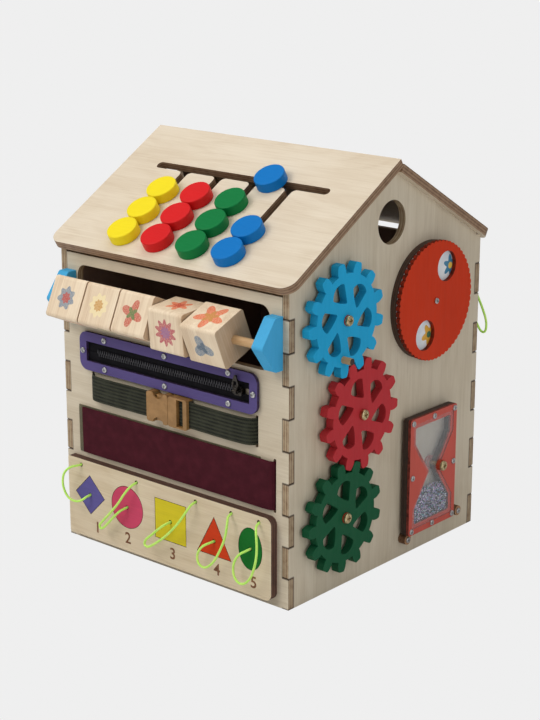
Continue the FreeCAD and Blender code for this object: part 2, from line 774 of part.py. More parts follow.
def build_hourglass():
    """Two plywood layers, a red front, two panes and the beads, all turning on one screw."""
    back = hourglass_back + turning_gap
    bulb = bulb_face(back - 1, 0.0).extrude(vec(3 * hourglass_layer + 2, 0, 0))
    bulb = rounded(bulb, X_AXIS, 2.0)
    pivot_hole = rod(back - 1, pivot_y, pivot_z, X_AXIS, axle_radius + axle_clearance,
                     3 * hourglass_layer + 2)
    places = []
    for side in (-1, 0, 1):
        for level in (-1, 1):
            places.append((hourglass_y + side * (hourglass_width / 2 - hourglass_screw_inset),
                           hourglass_z + level * (hourglass_height / 2 - hourglass_screw_inset)))
    places += [(hourglass_y + side * (hourglass_width / 2 - hourglass_screw_inset), hourglass_z)
               for side in (-1, 1)]
    front_plane = back + 3 * hourglass_layer
    layers = []
    for index in range(3):
        x = back + index * hourglass_layer
        layer = hourglass_plate(x, hourglass_layer).cut(bulb).cut(pivot_hole)
        for y, z in places:
            layer = layer.cut(shank_hole(front_plane + 1, y, z, X_AXIS * -1.0, 3 * hourglass_layer))
        layers.append(layer)
    panes = []
    for x, layer in ((back, 0), (front_plane - pane_thickness, 2)):
        pane = bulb_face(x, pane_margin).extrude(vec(pane_thickness, 0, 0))
        seat = pane.cut(pivot_hole)
        layers[layer] = layers[layer].cut(seat)
        panes.append(seat)
    save("hourglass_frame", layers[0], layers[1])
    save("hourglass_front", layers[2])
    save("hourglass_panes", *panes)

    room = 3 * hourglass_layer - 2 * pane_thickness
    floor = hourglass_z - bulb_half_height
    beads = bulb_face(back + pane_thickness, -0.3).extrude(vec(room, 0, 0))
    fill_top = floor + bulb_half_height * bead_fill
    beads = beads.cut(block(back - 1, front_plane + 1, hourglass_y - hourglass_width,
                            hourglass_y + hourglass_width, fill_top, hourglass_high + 1))
    save("hourglass_beads", beads.common(bulb))
    save("hourglass_screws", *[screw(front_plane, y, z, X_AXIS * -1.0, 3 * hourglass_layer - 2.0)
                               for y, z in places])

    stops = []
    for y, z in stop_places:
        stop = rod(right_face, y, z, X_AXIS, stop_radius, stop_height)
        stops.append(stop.cut(rod(right_face - 1, y, z, X_AXIS, screw_radius + screw_clearance,
                                  stop_height + 2)))
    save("hourglass_stops", *stops)


def build_panel_screws():
    """The silver screws that hold fixed pieces."""
    screws = []
    frame_front = front_face - tape_thickness - zip_frame_thickness
    for x, z in zip_screw_places:
        screws.append(screw(x, frame_front, z, Y_AXIS, front_face - frame_front + screw_bite))
    for y, z in stop_places:
        screws.append(screw(right_face + stop_height, y, z, X_AXIS * -1.0, stop_height + screw_bite))
    wheel_front = spinner_back + spinner_thickness + turning_gap
    screws.append(screw(wheel_front, spinner_y, spinner_z, X_AXIS * -1.0,
                        wheel_front - right_face + screw_bite))
    for x, z in bracket_screw_places:
        screws.append(screw(x, front_face + wall_thickness, z, Y_AXIS * -1.0, wall_thickness + screw_bite))
    for x in (-batten_x, batten_x):
        for run in batten_screw_runs:
            for turn in (0, 180):
                pin = screw(x, run, -roof_thickness - batten_side, Z_AXIS, batten_side + 3.5)
                pin = on_front_roof(pin)
                pin.rotate(vec(0, 0, 0), Z_AXIS, turn)
                screws.append(pin)
    save("panel_screws", *screws)


def build_zipper():
    """The frame, the two tapes with their teeth, and the slider with its pull."""
    tape_front = front_face - tape_thickness
    frame_front = tape_front - zip_frame_thickness
    frame = block(zip_left, zip_right, frame_front, tape_front, zip_low, zip_high)
    frame = rounded(frame, Y_AXIS, zip_frame_round)
    hole_left = zip_left + zip_frame_rim
    hole_right = zip_right - zip_frame_rim
    hole_low = zip_low + zip_frame_rim
    hole_high = zip_high - zip_frame_rim
    frame = frame.cut(block(hole_left, hole_right, frame_front - 1, tape_front + 1, hole_low, hole_high))
    for x, z in zip_screw_places:
        frame = frame.cut(shank_hole(x, frame_front - 1, z, Y_AXIS, zip_frame_thickness + 2))
    save("zipper_frame", frame)

    tapes = []
    chain_left = hole_left + chain_start
    tape_low = hole_low - tape_overlap
    tape_high = hole_high + tape_overlap
    split = tape_split / 2
    for side, edge in ((-1, tape_low), (1, tape_high)):
        z0, z1 = sorted((zip_z + side * 0.05, edge))
        tape = block(hole_left - tape_overlap, hole_right + tape_overlap, tape_front, front_face, z0, z1)
        c0, c1 = sorted((zip_z + side * 0.05, zip_z + side * chain_width / 2))
        chain = block(chain_left, zip_slider_place, tape_front - chain_height, tape_front, c0, c1)
        tape = tape.fuse(chain).removeSplitter()
        gap0, gap1 = sorted((zip_z, zip_z + side * split))
        tape = tape.cut(block(zip_slider_place, hole_right + tape_overlap + 1, tape_front - 5,
                              front_face + 1, gap0, gap1))
        for x, z in zip_screw_places:
            tape = tape.cut(shank_hole(x, frame_front - 1, z, Y_AXIS, 10.0))
        tapes.append(tape)
    save("zipper_tapes", *tapes)

    half = zip_slider_length / 2
    chain_front = tape_front - chain_height
    front_in = chain_front - zip_slider_gap
    front_out = front_in - zip_slider_plate
    back_in = front_face + zip_slider_gap
    back_out = back_in + zip_slider_plate
    wide = zip_slider_width / 2
    low = zip_z - wide
    high = zip_z + wide
    x0 = zip_slider_place - half
    x1 = zip_slider_place + half
    front_plate = rounded(block(x0, x1, front_out, front_in, low, high), Y_AXIS, 2.4)
    back_plate = rounded(block(x0, x1, back_in, back_out, low, high), Y_AXIS, 2.4)
    post = block(zip_slider_place + 0.8, x1 - 1.0, front_out, back_out,
                 zip_z - split * 0.7, zip_z + split * 0.7)
    bar_z = zip_z
    bar_y_place = front_out - pull_bar_radius - pull_bar_gap
    legs = block(x0 + 1.2, x0 + 2.4, bar_y_place, front_out, bar_z - 1.0, bar_z + 1.0)
    legs = legs.fuse(block(x1 - 2.4, x1 - 1.2, bar_y_place, front_out, bar_z - 1.0, bar_z + 1.0))
    bar = rod(x0 + 1.2, bar_y_place, bar_z, X_AXIS, pull_bar_radius, zip_slider_length - 2.4)
    slider = front_plate.fuse([back_plate, post, legs, bar]).removeSplitter()
    save("zipper_slider", slider)

    eye = pull_bar_radius + 0.35
    narrow = pull_width * 0.26
    tab_low = bar_z - eye - 1.3
    half_outline = [(narrow, tab_low - bar_z), (narrow, pull_neck), (pull_width / 2, pull_length * 0.45),
                    (narrow * 0.5, pull_length)]
    outline = [vec(zip_slider_place + x, bar_y_place - pull_thickness / 2, bar_z + z)
               for x, z in half_outline]
    outline += [vec(zip_slider_place - x, bar_y_place - pull_thickness / 2, bar_z + z)
                for x, z in reversed(half_outline)]
    tab = plate(outline, vec(0, pull_thickness, 0))
    barrel = rod(zip_slider_place - narrow, bar_y_place, bar_z, X_AXIS, eye + 0.9, 2 * narrow)
    tab = tab.fuse(barrel)
    tab = tab.cut(rod(zip_slider_place - 10, bar_y_place, bar_z, X_AXIS, eye, 20.0))
    tab = tab.cut(block(zip_slider_place - 1.7, zip_slider_place + 1.7, bar_y_place - 5, bar_y_place + 5,
                        bar_z + 3.6, bar_z + 9.5))
    save("zipper_pull", tab)


def build_buckle():
    """Two webbing straps and the side-release buckle between them."""
    back = front_face - buckle_lift
    front = back - buckle_thickness
    low = strap_z - buckle_height / 2
    high = strap_z + buckle_height / 2
    strap_front = back - buckle_thickness / 2 - strap_thickness / 2
    strap_half = strap_width / 2 + 0.4
    behind_bar = strap_front - 0.2

    socket = block(buckle_left, buckle_split, front, back, low, high)
    socket = rounded(socket, Y_AXIS, buckle_round)
    socket = socket.cut(block(buckle_left + buckle_bar, buckle_split + 1, front + buckle_wall,
                              back - buckle_wall, low + buckle_wall, high - buckle_wall))
    press_x = buckle_left + press_place
    for z in (low - press_radius + press_depth, high + press_radius - press_depth):
        socket = socket.cut(rod(press_x, front - 1, z, Y_AXIS, press_radius, buckle_thickness + 2))
    socket = socket.cut(block(buckle_left - 1, buckle_left + buckle_bar - 1.0, behind_bar, back + 1,
                              strap_z - strap_half, strap_z + strap_half))
    save("buckle_socket", socket)

    frame_left = buckle_split + 0.4
    plug = block(frame_left, buckle_right, front, back, low, high)
    plug = rounded(plug, Y_AXIS, buckle_round)
    window_left = buckle_right - buckle_bar * 1.35
    window_right = buckle_right - buckle_bar * 0.5
    plug = plug.cut(block(window_left, window_right, front - 1, back + 1,
                          strap_z - strap_half, strap_z + strap_half))
    plug = plug.cut(block(window_right - 1, buckle_right + 1, behind_bar, back + 1,
                          strap_z - strap_half, strap_z + strap_half))
    inner_front = front + buckle_wall + 0.5
    inner_back = back - buckle_wall - 0.5
    prong_outer = buckle_height / 2 - buckle_wall - 0.4
    prongs = []
    for side in (-1, 1):
        z0, z1 = sorted((strap_z + side * (prong_outer - 5.5), strap_z + side * (prong_outer - 1.5)))
        prongs.append(block(frame_left - prong_length, frame_left + 1, inner_front, inner_back, z0, z1))
        z0, z1 = sorted((strap_z + side * (prong_outer - 2.5), strap_z + side * prong_outer))
        prongs.append(block(frame_left - prong_length, frame_left - prong_length * 0.5, inner_front,
                            inner_back, z0, z1))
    prongs.append(block(frame_left - prong_length * 0.7, frame_left + 1, inner_front, inner_back,
                        strap_z - 2.0, strap_z + 2.0))
    save("buckle_plug", plug.fuse(prongs).removeSplitter())

    strap_low = strap_z - strap_width / 2
    inside = front_face + wall_thickness + 6.0
    tail = 14.0

    def strap(slot_x, end_x, toward):
        """A strap from behind its slot, out to the front and along to the buckle."""
        edge = strap_thickness / 2
        rise = [vec(slot_x - toward * tail, inside, strap_low),
                vec(slot_x + toward * edge, inside, strap_low),
                vec(slot_x + toward * edge, front_face - 0.6, strap_low),
                vec(slot_x + toward * 14.0, strap_front + strap_thickness, strap_low),
                vec(end_x, strap_front + strap_thickness, strap_low),
                vec(end_x, strap_front, strap_low),
                vec(slot_x + toward * 13.6, strap_front, strap_low),
                vec(slot_x - toward * edge, front_face - 1.2, strap_low),
                vec(slot_x - toward * edge, inside - strap_thickness, strap_low),
                vec(slot_x - toward * tail, inside - strap_thickness, strap_low)]
        return plate(rise, vec(0, 0, strap_width))

    save("strap_left", strap(strap_left_slot, buckle_left + buckle_bar - 1.5, 1))
    save("strap_right", strap(strap_right_slot, window_left + 0.5, -1))


def build_touch_strip():
    """The olive base strip, the maroon flap that presses onto it, and the flap's end in its slot."""
    low = flap_z - flap_height / 2
    flap_back = front_face - flap_lift
    flap_front = flap_back - flap_thickness
    base = block(base_left, flap_hinge_x - base_end_gap, front_face - base_thickness, front_face,
                 low - base_margin, low + flap_height + base_margin)
    edge = flap_thickness / 2
    inside = front_face + wall_thickness + 5.0
    outline = [vec(flap_hinge_x + flap_hinge_gap, flap_back, low),
               vec(flap_slot_x - edge, flap_back + 0.4, low),
               vec(flap_slot_x - edge, inside, low), vec(flap_slot_x + edge, inside, low),
               vec(flap_slot_x + edge, flap_front + 0.5, low), vec(flap_slot_x - edge, flap_front, low),
               vec(flap_hinge_x + flap_hinge_gap, flap_front, low)]
    save("touch_base", base, plate(outline, vec(0, 0, flap_height)))
    save("touch_flap", block(flap_left, flap_hinge_x - flap_hinge_gap, flap_front, flap_back,
                             low, low + flap_height))


def insert_outlines(grow):
    """The five insert shapes as faces on the panel's front, grown by a margin."""
    y = panel_front
    z = insert_row
    faces = {}
    half = diamond_half + grow * math.sqrt(2.0)
    corners = [(0, -half), (half, 0), (0, half), (-half, 0)]
    faces["diamond"] = polygon_face([(diamond_x + x, z + dz) for x, dz in corners], y)
    ring = Part.makeCircle(circle_radius + grow, vec(circle_x, y, z), Y_AXIS)
    faces["circle"] = Part.Face(Part.Wire(ring))
    half = square_side / 2 + grow
    corners = [(-half, -half), (half, -half), (half, half), (-half, half)]
    faces["square"] = polygon_face([(square_x + x, z + dz) for x, dz in corners], y)
    base = triangle_base / 2 + grow * 1.9
    low = z - triangle_height / 2 - grow
    high = z + triangle_height / 2 + grow * 2.1
    faces["triangle"] = polygon_face([(triangle_x - base, low), (triangle_x + base, low),
                                      (triangle_x, high)], y)
    ellipse = Part.Ellipse(vec(oval_x, y, z), oval_half_height + grow, oval_half_width + grow)
    ring = ellipse.toShape()
    ring.rotate(vec(oval_x, y, z), X_AXIS, 90)
    ring.rotate(vec(oval_x, y, z), Y_AXIS, 90)
    faces["oval"] = Part.Face(Part.Wire(ring))
    return faces


def polygon_face(corners, y):
    """A flat face at a place along Y from its X and Z corners."""
    points = [vec(x, y, z) for x, z in corners]
    return Part.Face(Part.makePolygon(points + [points[0]]))


def insert_hole_places():
    """The middle of each insert, where its cord goes in."""
    low_third = insert_row - triangle_height / 2 + triangle_height * 0.38
    return {"diamond": (diamond_x, insert_row), "circle": (circle_x, insert_row),
            "square": (square_x, insert_row), "triangle": (triangle_x, low_third),
            "oval": (oval_x, insert_row)}


def build_lacing():
    """The lacing panel and the five shapes that lift out of it."""
    panel = block(panel_left, panel_right, panel_front, front_face, panel_low, panel_high)
    panel = rounded(panel, Y_AXIS, panel_left_round, lambda p: p.x < 0)
    panel = rounded(panel, Y_AXIS, panel_right_round, lambda p: p.x > 0 and p.x > panel_right - 1)
    push = vec(0, panel_thickness + 2, 0)
    for face in insert_outlines(insert_gap).values():
        cutter = face.extrude(push)
        cutter.translate(vec(0, -1, 0))
        panel = panel.cut(cutter)
    for x in lace_holes:
        panel = panel.cut(rod(x, panel_front - 1, lace_hole_row, Y_AXIS, lace_hole_radius,
                              panel_thickness + 2))
    save("lacing_panel", panel)
    holes = insert_hole_places()
    for name, face in insert_outlines(0.0).items():
        piece = face.extrude(vec(0, panel_thickness - 0.1, 0))
        x, z = holes[name]
        piece = piece.cut(rod(x, panel_front - 1, z, Y_AXIS, lace_hole_radius, panel_thickness + 2))
        save("insert_" + name, piece)


def cord_tube(name, route):
    """A round tube along straight runs joined by arcs, as large as the runs allow."""
    points = [vec(*place) for place in route]
    edges = []
    radii = []
    here = points[0]
    for before, corner, after in zip(points, points[1:], points[2:]):
        into = corner - before
        out = after - corner
        turn = into.getAngle(out)
        reach = 0.45 * min(into.Length, out.Length)
        radius = reach / math.tan(turn / 2)
        radii.append(radius)
        start = corner - into * (reach / into.Length)
        stop = corner + out * (reach / out.Length)
        middle_way = (start + stop) * 0.5 - corner
        depth = radius / math.cos(turn / 2) - radius
        middle = corner + middle_way * (depth / middle_way.Length)
        edges.append(Part.LineSegment(here, start).toShape())
        edges.append(Part.Arc(start, middle, stop).toShape())
        here = stop
    edges.append(Part.LineSegment(here, points[-1]).toShape())
    path = Part.Wire(edges)
    first = points[1] - points[0]
    profile = Part.Wire(Part.makeCircle(cord_radius, points[0], first))
    tube = path.makePipeShell([profile], True, False)
    expected = path.Length * math.pi * cord_radius ** 2
    print(name, "length", round(path.Length, 1), "tightest radius", round(min(radii), 1),
          "volume ratio", round(tube.Volume / expected, 4))
    return tube


def build_cords():
    """Five cords from the panel's holes to the inserts, and the lace on the back wall."""
    wall = front_face
    routes = {
        "diamond cord": [(-115.6, wall, 80.5), (-115.6, -155.0, 80.5), (-121.0, -161.5, 80.0),
                         (-128.5, -164.0, 72.0), (-129.5, -164.5, 59.0), (-124.0, -163.0, 47.0),
                         (-115.0, -160.5, 44.5), (-107.0, -159.5, 48.0), (-104.2, -155.5, 51.8),
                         (-104.2, wall, 51.8)],
        "circle cord": [(-39.9, wall, 80.5), (-39.9, -155.5, 80.5), (-44.0, -160.0, 75.5),
                        (-56.0, -161.5, 60.0), (-69.0, -161.5, 45.0), (-78.0, -161.0, 35.0),
                        (-81.0, -160.5, 28.5), (-77.0, -160.0, 28.0), (-67.0, -160.0, 37.0),
                        (-56.5, -159.5, 47.5), (-53.1, -155.5, 51.8), (-53.1, wall, 51.8)],
        "square cord": [(37.0, wall, 80.5), (37.0, -155.5, 80.5), (32.5, -160.0, 76.0),
                        (19.0, -161.5, 62.0), (5.0, -161.5, 46.5), (-9.0, -161.0, 33.5),
                        (-19.0, -160.5, 26.5), (-20.5, -160.0, 22.5), (-15.5, -160.0, 23.5),
                        (-7.0, -160.0, 33.0), (1.5, -159.5, 45.5), (4.3, -155.5, 51.8),
                        (4.3, wall, 51.8)],
        "triangle cord": [(81.0, wall, 80.5), (81.0, -155.5, 80.5), (84.5, -160.5, 74.5),
                          (83.5, -162.0, 61.0), (76.5, -162.0, 45.5), (67.5, -161.5, 31.0),
                          (57.0, -161.0, 22.5), (48.0, -160.5, 24.0), (45.5, -160.0, 32.5),
                          (51.0, -159.5, 42.5), (59.7, -155.5, 47.36), (59.7, wall, 47.36)],
        "oval cord": [(114.3, wall, 80.5), (114.3, -155.5, 80.5), (119.5, -161.0, 72.5),
                      (122.0, -162.5, 59.0), (119.5, -162.5, 43.0), (113.0, -162.0, 27.5),
                      (102.5, -161.5, 19.0), (93.0, -161.0, 22.5), (90.5, -160.5, 34.5),
                      (95.5, -159.5, 46.0), (104.1, -155.5, 51.8), (104.1, wall, 51.8)],
        "back lace": [(107.0, 136.5, 251.0), (107.0, 147.0, 251.0), (110.5, 151.5, 247.0),
                      (117.0, 153.5, 236.0), (126.5, 154.5, 222.0), (136.0, 155.0, 208.0),
                      (144.5, 155.0, 196.0), (150.5, 155.0, 197.0), (150.0, 155.0, 209.0),
                      (142.0, 155.0, 222.5), (134.0, 154.5, 236.0), (127.5, 151.5, 247.0),
                      (124.0, 147.0, 251.0), (124.0, 136.5, 251.0)],
    }
    save("lime_cords", *[cord_tube(name, route) for name, route in routes.items()])


os.makedirs("parts", exist_ok=True)
build_walls()
build_roof()
build_sliders()
build_cubes()
build_gears()
build_spinner()
build_hourglass()
build_panel_screws()
build_zipper()
build_buckle()
build_touch_strip()
build_lacing()
build_cords()
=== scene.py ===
"""The looks of the house-shaped wooden busy board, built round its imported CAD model.

Every length is in metres, in the row frame: +Z is up, -Y is the front wall, +X is the gear wall.
Wood, paint, metal and cloth are procedural. Straps, strips, tapes, teeth, cords, beads and numbers are
modelled here, and everything else keeps its CAD shape under a detailed material.
"""

import logging
import math
import random
from dataclasses import dataclass
from enum import Enum
from typing import Any, Sequence

import bmesh
import bpy
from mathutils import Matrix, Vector


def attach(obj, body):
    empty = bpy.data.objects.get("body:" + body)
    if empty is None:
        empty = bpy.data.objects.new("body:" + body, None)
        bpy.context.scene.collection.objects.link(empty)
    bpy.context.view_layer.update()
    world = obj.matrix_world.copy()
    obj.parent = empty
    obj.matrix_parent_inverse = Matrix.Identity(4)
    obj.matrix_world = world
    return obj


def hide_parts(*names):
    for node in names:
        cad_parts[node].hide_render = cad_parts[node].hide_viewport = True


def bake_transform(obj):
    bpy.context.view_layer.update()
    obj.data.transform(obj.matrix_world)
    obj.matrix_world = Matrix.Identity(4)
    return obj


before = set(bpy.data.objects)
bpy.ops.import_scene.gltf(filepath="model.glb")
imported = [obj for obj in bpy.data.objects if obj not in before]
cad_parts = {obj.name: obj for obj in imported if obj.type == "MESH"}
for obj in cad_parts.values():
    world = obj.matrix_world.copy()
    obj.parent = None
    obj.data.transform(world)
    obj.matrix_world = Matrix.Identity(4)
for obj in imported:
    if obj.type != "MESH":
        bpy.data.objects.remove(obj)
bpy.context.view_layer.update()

logging.basicConfig(level=logging.INFO, format="%(message)s")
LOG = logging.getLogger("busy_board")

Point = tuple[float, float, float]
Colour = tuple[float, float, float]

MM = 0.001

X_AXIS: Point = (1.0, 0.0, 0.0)
Y_AXIS: Point = (0.0, 1.0, 0.0)
Z_AXIS: Point = (0.0, 0.0, 1.0)

# The house
HALF_WIDTH = 0.1425
HALF_DEPTH = 0.1435
FRONT_FACE = -HALF_DEPTH
WALL_THICKNESS = 0.007
VENEER = 0.0014
FINGER_PITCH = 0.030
ROOF_PITCH = math.radians(30.5)

# The middles of the cube bar and of the spinner
BAR_Y = -0.1609
BAR_Z = 0.2485
SPINNER_Y = 0.0566
SPINNER_Z = 0.2505

# Brightness of the plain ground that the camera sees
BACKGROUND = 0.863

# A surface counts as a plate's cut edge where the cosine between their normals is under this
EDGE_FACING = 0.6

# Strength and depth of the relief of bare wood
GRAIN_BUMP = 0.25
GRAIN_RELIEF = 0.0002

# Numbers of the colour sockets on Blender's Mix node, whose names other kinds share
MIX_FACTOR = 0
MIX_FIRST = 6
MIX_SECOND = 7
MIX_RESULT = 2

# Numbers of the Random Value node's sockets
RANDOM_VECTOR_LOW = 0
RANDOM_VECTOR_HIGH = 1
RANDOM_FLOAT_LOW = 2
RANDOM_FLOAT_HIGH = 3
RANDOM_VECTOR = 0
RANDOM_FLOAT = 1


class Body(Enum):
    """The CAD bodies that pieces made here ride on."""

    HOUSE = "house"
    HOURGLASS = "hourglass"
    BUCKLE_TONGUE = "buckle_tongue"
    FLAP = "flap"


class Slot(Enum):
    """Material slots of the record, listed here but read by nothing."""

    WEBBING = "webbing"
    TAPE = "tape"
    MAROON = "maroon_fabric"
    OLIVE = "olive_fabric"
    LIME = "lime_cord"
    BEADS = "beads"
    PALE_WOOD = "pale_wood"
    GUNMETAL = "gunmetal"


def srgb(red: float, green: float, blue: float) -> Colour:
    """Turn a colour that was read off into scene-linear values.

    Args:
        red: Red from 0 to 255.
        green: Green from 0 to 255.
        blue: Blue from 0 to 255.

    Returns:
        The same colour in scene-linear values from 0 to 1.
    """
    def linear(value: float) -> float:
        """Turn one value from 0 to 255 into a linear share."""
        share = value / 255.0
        return share / 12.92 if share <= 0.04045 else ((share + 0.055) / 1.055) ** 2.4

    return (linear(red), linear(green), linear(blue))


BEECH_LIGHT = srgb(206, 172, 126)
BEECH_DARK = srgb(164, 118, 72)


class Graph:
    """A node tree with short ways to add nodes and join them."""

    def __init__(self, tree: bpy.types.NodeTree) -> None:
        """Keep the tree that nodes are added to."""
        self.tree = tree

    def add(self, kind: str, values: dict[Any, Any] | None = None, **settings: Any) -> bpy.types.Node:
        """Add one node.

        Args:
            kind: The node's type name.
            values: Input name or number to a socket to join or a constant to set.
            **settings: Properties of the node itself.

        Returns:
            The new node.
        """
        node = self.tree.nodes.new(kind)
        for name, value in settings.items():
            setattr(node, name, value)
        for key, value in (values or {}).items():
            self.feed(node.inputs[key], value)
        return node

    def feed(self, socket: bpy.types.NodeSocket, value: Any) -> None:
        """Join an output to an input, or set the input's constant."""
        if isinstance(value, bpy.types.NodeSocket):
            self.tree.links.new(value, socket)
            return
        if socket.type == "RGBA" and len(value) == 3:
            value = (*value, 1.0)
        socket.default_value = value

    def math(self, operation: str, first: Any, second: Any = 0.0,
             clamp: bool = False) -> bpy.types.NodeSocket:
        """Add a scalar operation and return its result."""
        node = self.add("ShaderNodeMath", {0: first, 1: second}, operation=operation, use_clamp=clamp)
        return node.outputs[0]

    def times(self, first: Any, second: Any, clamp: bool = False) -> bpy.types.NodeSocket:
        """Return the product of two values."""
        return self.math("MULTIPLY", first, second, clamp)

    def plus(self, first: Any, second: Any, clamp: bool = False) -> bpy.types.NodeSocket:
        """Return the sum of two values."""
        return self.math("ADD", first, second, clamp)

    def minus(self, first: Any, second: Any) -> bpy.types.NodeSocket:
        """Return the first value less the second."""
        return self.math("SUBTRACT", first, second)

    def vector(self, operation: str, first: Any, second: Any = (0.0, 0.0, 0.0)) -> bpy.types.NodeSocket:
        """Add a vector operation and return its vector result."""
        node = self.add("ShaderNodeVectorMath", {0: first, 1: second}, operation=operation)
        return node.outputs["Vector"]

    def dot(self, first: Any, second: Any) -> bpy.types.NodeSocket:
        """Return the dot product of two vectors."""
        return self.add("ShaderNodeVectorMath", {0: first, 1: second},
                        operation="DOT_PRODUCT").outputs["Value"]

    def scaled(self, source: Any, factors: Point) -> bpy.types.NodeSocket:
        """Return a vector multiplied axis by axis."""
        return self.vector("MULTIPLY", source, factors)

    def split(self, source: Any) -> tuple[bpy.types.NodeSocket, ...]:
        """Return the three components of a vector."""
        return tuple(self.add("ShaderNodeSeparateXYZ", {0: source}).outputs)

    def join(self, x: Any, y: Any, z: Any) -> bpy.types.NodeSocket:
        """Return a vector made from three components."""
        return self.add("ShaderNodeCombineXYZ", {0: x, 1: y, 2: z}).outputs[0]

    def span(self, value: Any, low: float, high: float, out_low: float = 0.0,
             out_high: float = 1.0) -> bpy.types.NodeSocket:
        """Return a value carried smoothly from one range to another."""
        return self.add("ShaderNodeMapRange", {"Value": value, "From Min": low, "From Max": high,
                                               "To Min": out_low, "To Max": out_high},
                        interpolation_type="SMOOTHSTEP").outputs[0]

    def blend(self, factor: Any, first: Any, second: Any, kind: str = "MIX") -> bpy.types.NodeSocket:
        """Return a mix of two colours."""
        node = self.add("ShaderNodeMix", data_type="RGBA", blend_type=kind)
        self.feed(node.inputs[MIX_FACTOR], factor)
        self.feed(node.inputs[MIX_FIRST], first)
        self.feed(node.inputs[MIX_SECOND], second)
        return node.outputs[MIX_RESULT]

    def noise(self, source: Any, scale: float, detail: float = 3.0, rough: float = 0.55,
              distortion: float = 0.0) -> bpy.types.NodeSocket:
        """Return the height of a noise pattern over a position."""
        return self.add("ShaderNodeTexNoise", {"Vector": source, "Scale": scale, "Detail": detail,
                                               "Roughness": rough, "Distortion": distortion}).outputs[0]

    def group(self, tree: bpy.types.NodeTree, values: dict[str, Any]) -> bpy.types.Node:
        """Add a shared node group with its inputs fed."""
        node = self.tree.nodes.new("ShaderNodeGroup")
        node.node_tree = tree
        for key, value in values.items():
            self.feed(node.inputs[key], value)
        return node


def new_group(name: str, takes: Sequence[tuple[str, str]],
              gives: Sequence[tuple[str, str]]) -> tuple[Graph, bpy.types.Node, bpy.types.Node]:
    """Start a shader node group.

    Args:
        name: The group's name.
        takes: Names and kinds of the inputs.
        gives: Names and kinds of the outputs.

    Returns:
        The graph, its input node and its output node.
    """
    tree = bpy.data.node_groups.new(name, "ShaderNodeTree")
    for label, kind in takes:
        tree.interface.new_socket(name=label, in_out="INPUT", socket_type="NodeSocket" + kind)
    for label, kind in gives:
        tree.interface.new_socket(name=label, in_out="OUTPUT", socket_type="NodeSocket" + kind)
    graph = Graph(tree)
    return graph, graph.add("NodeGroupInput"), graph.add("NodeGroupOutput")


def wood_grain_group() -> bpy.types.NodeTree:
    """Make birch grain along the vector's X: figure, contour lines, fine streaks and dark flecks.

    Returns:
        The group.
    """
    figure_scale = (9.0, 60.0, 60.0)
    streak_scale = (14.0, 900.0, 900.0)
    fleck_scale = (120.0, 1800.0, 1800.0)
    contour_scale = (2.4, 11.0, 11.0)
    contours = 15.0
    graph, given, result = new_group(
        "Wood grain", [("Vector", "Vector"), ("Light", "Color"), ("Dark", "Color"), ("Strength", "Float")],
        [("Colour", "Color"), ("Height", "Float")])
    position = given.outputs["Vector"]
    figure = graph.noise(graph.scaled(position, figure_scale), 1.0, 4.0, 0.6, 1.2)
    streaks = graph.noise(graph.scaled(position, streak_scale), 1.0, 2.0, 0.6)
    fleck = graph.span(graph.noise(graph.scaled(position, fleck_scale), 1.0, 1.0), 0.66, 0.76)
    cloud = graph.noise(position, 14.0, 2.0)
    rings = graph.times(graph.noise(graph.scaled(position, contour_scale), 1.0, 1.0), contours)
    contour = graph.math("ABSOLUTE", graph.minus(graph.math("FRACT", rings), 0.5))
    contour_line = graph.times(graph.span(contour, 0.0, 0.2, 1.0, 0.0), graph.span(streaks, 0.3, 0.6))
    total = graph.times(graph.span(figure, 0.3, 0.72), 0.5)
    layers = ((graph.span(streaks, 0.3, 0.7), 0.28), (graph.span(cloud, 0.35, 0.65), 0.22), (fleck, 0.35),
              (contour_line, 0.22))
    for layer, share in layers:
        total = graph.plus(total, graph.times(layer, share))
    total = graph.times(total, given.outputs["Strength"], clamp=True)
    graph.feed(result.inputs["Colour"], graph.blend(total, given.outputs["Light"], given.outputs["Dark"]))
    height = graph.minus(graph.times(streaks, 0.6), graph.times(fleck, 0.4))
    graph.feed(result.inputs["Height"], height)
    return graph.tree


def ply_edge_group() -> bpy.types.NodeTree:
    """Make the laser-cut edge of plywood: veneer layers across a coordinate, browned by the cut.

    Returns:
        The group.
    """
    graph, given, result = new_group(
        "Plywood edge", [("Vector", "Vector"), ("Across", "Float"), ("Veneer", "Float"), ("Light", "Color"),
                         ("Dark", "Color")], [("Colour", "Color")])
    layer = graph.math("DIVIDE", given.outputs["Across"], given.outputs["Veneer"])
    wave = graph.math("ABSOLUTE", graph.minus(graph.math("FRACT", layer), 0.5))
    band = graph.span(wave, 0.18, 0.32)
    char = graph.span(graph.noise(given.outputs["Vector"], 160.0, 3.0), 0.35, 0.8, 0.0, 0.5)
    factor = graph.plus(graph.times(band, 0.6), char, clamp=True)
    graph.feed(result.inputs["Colour"], graph.blend(factor, given.outputs["Light"], given.outputs["Dark"]))
    return graph.tree


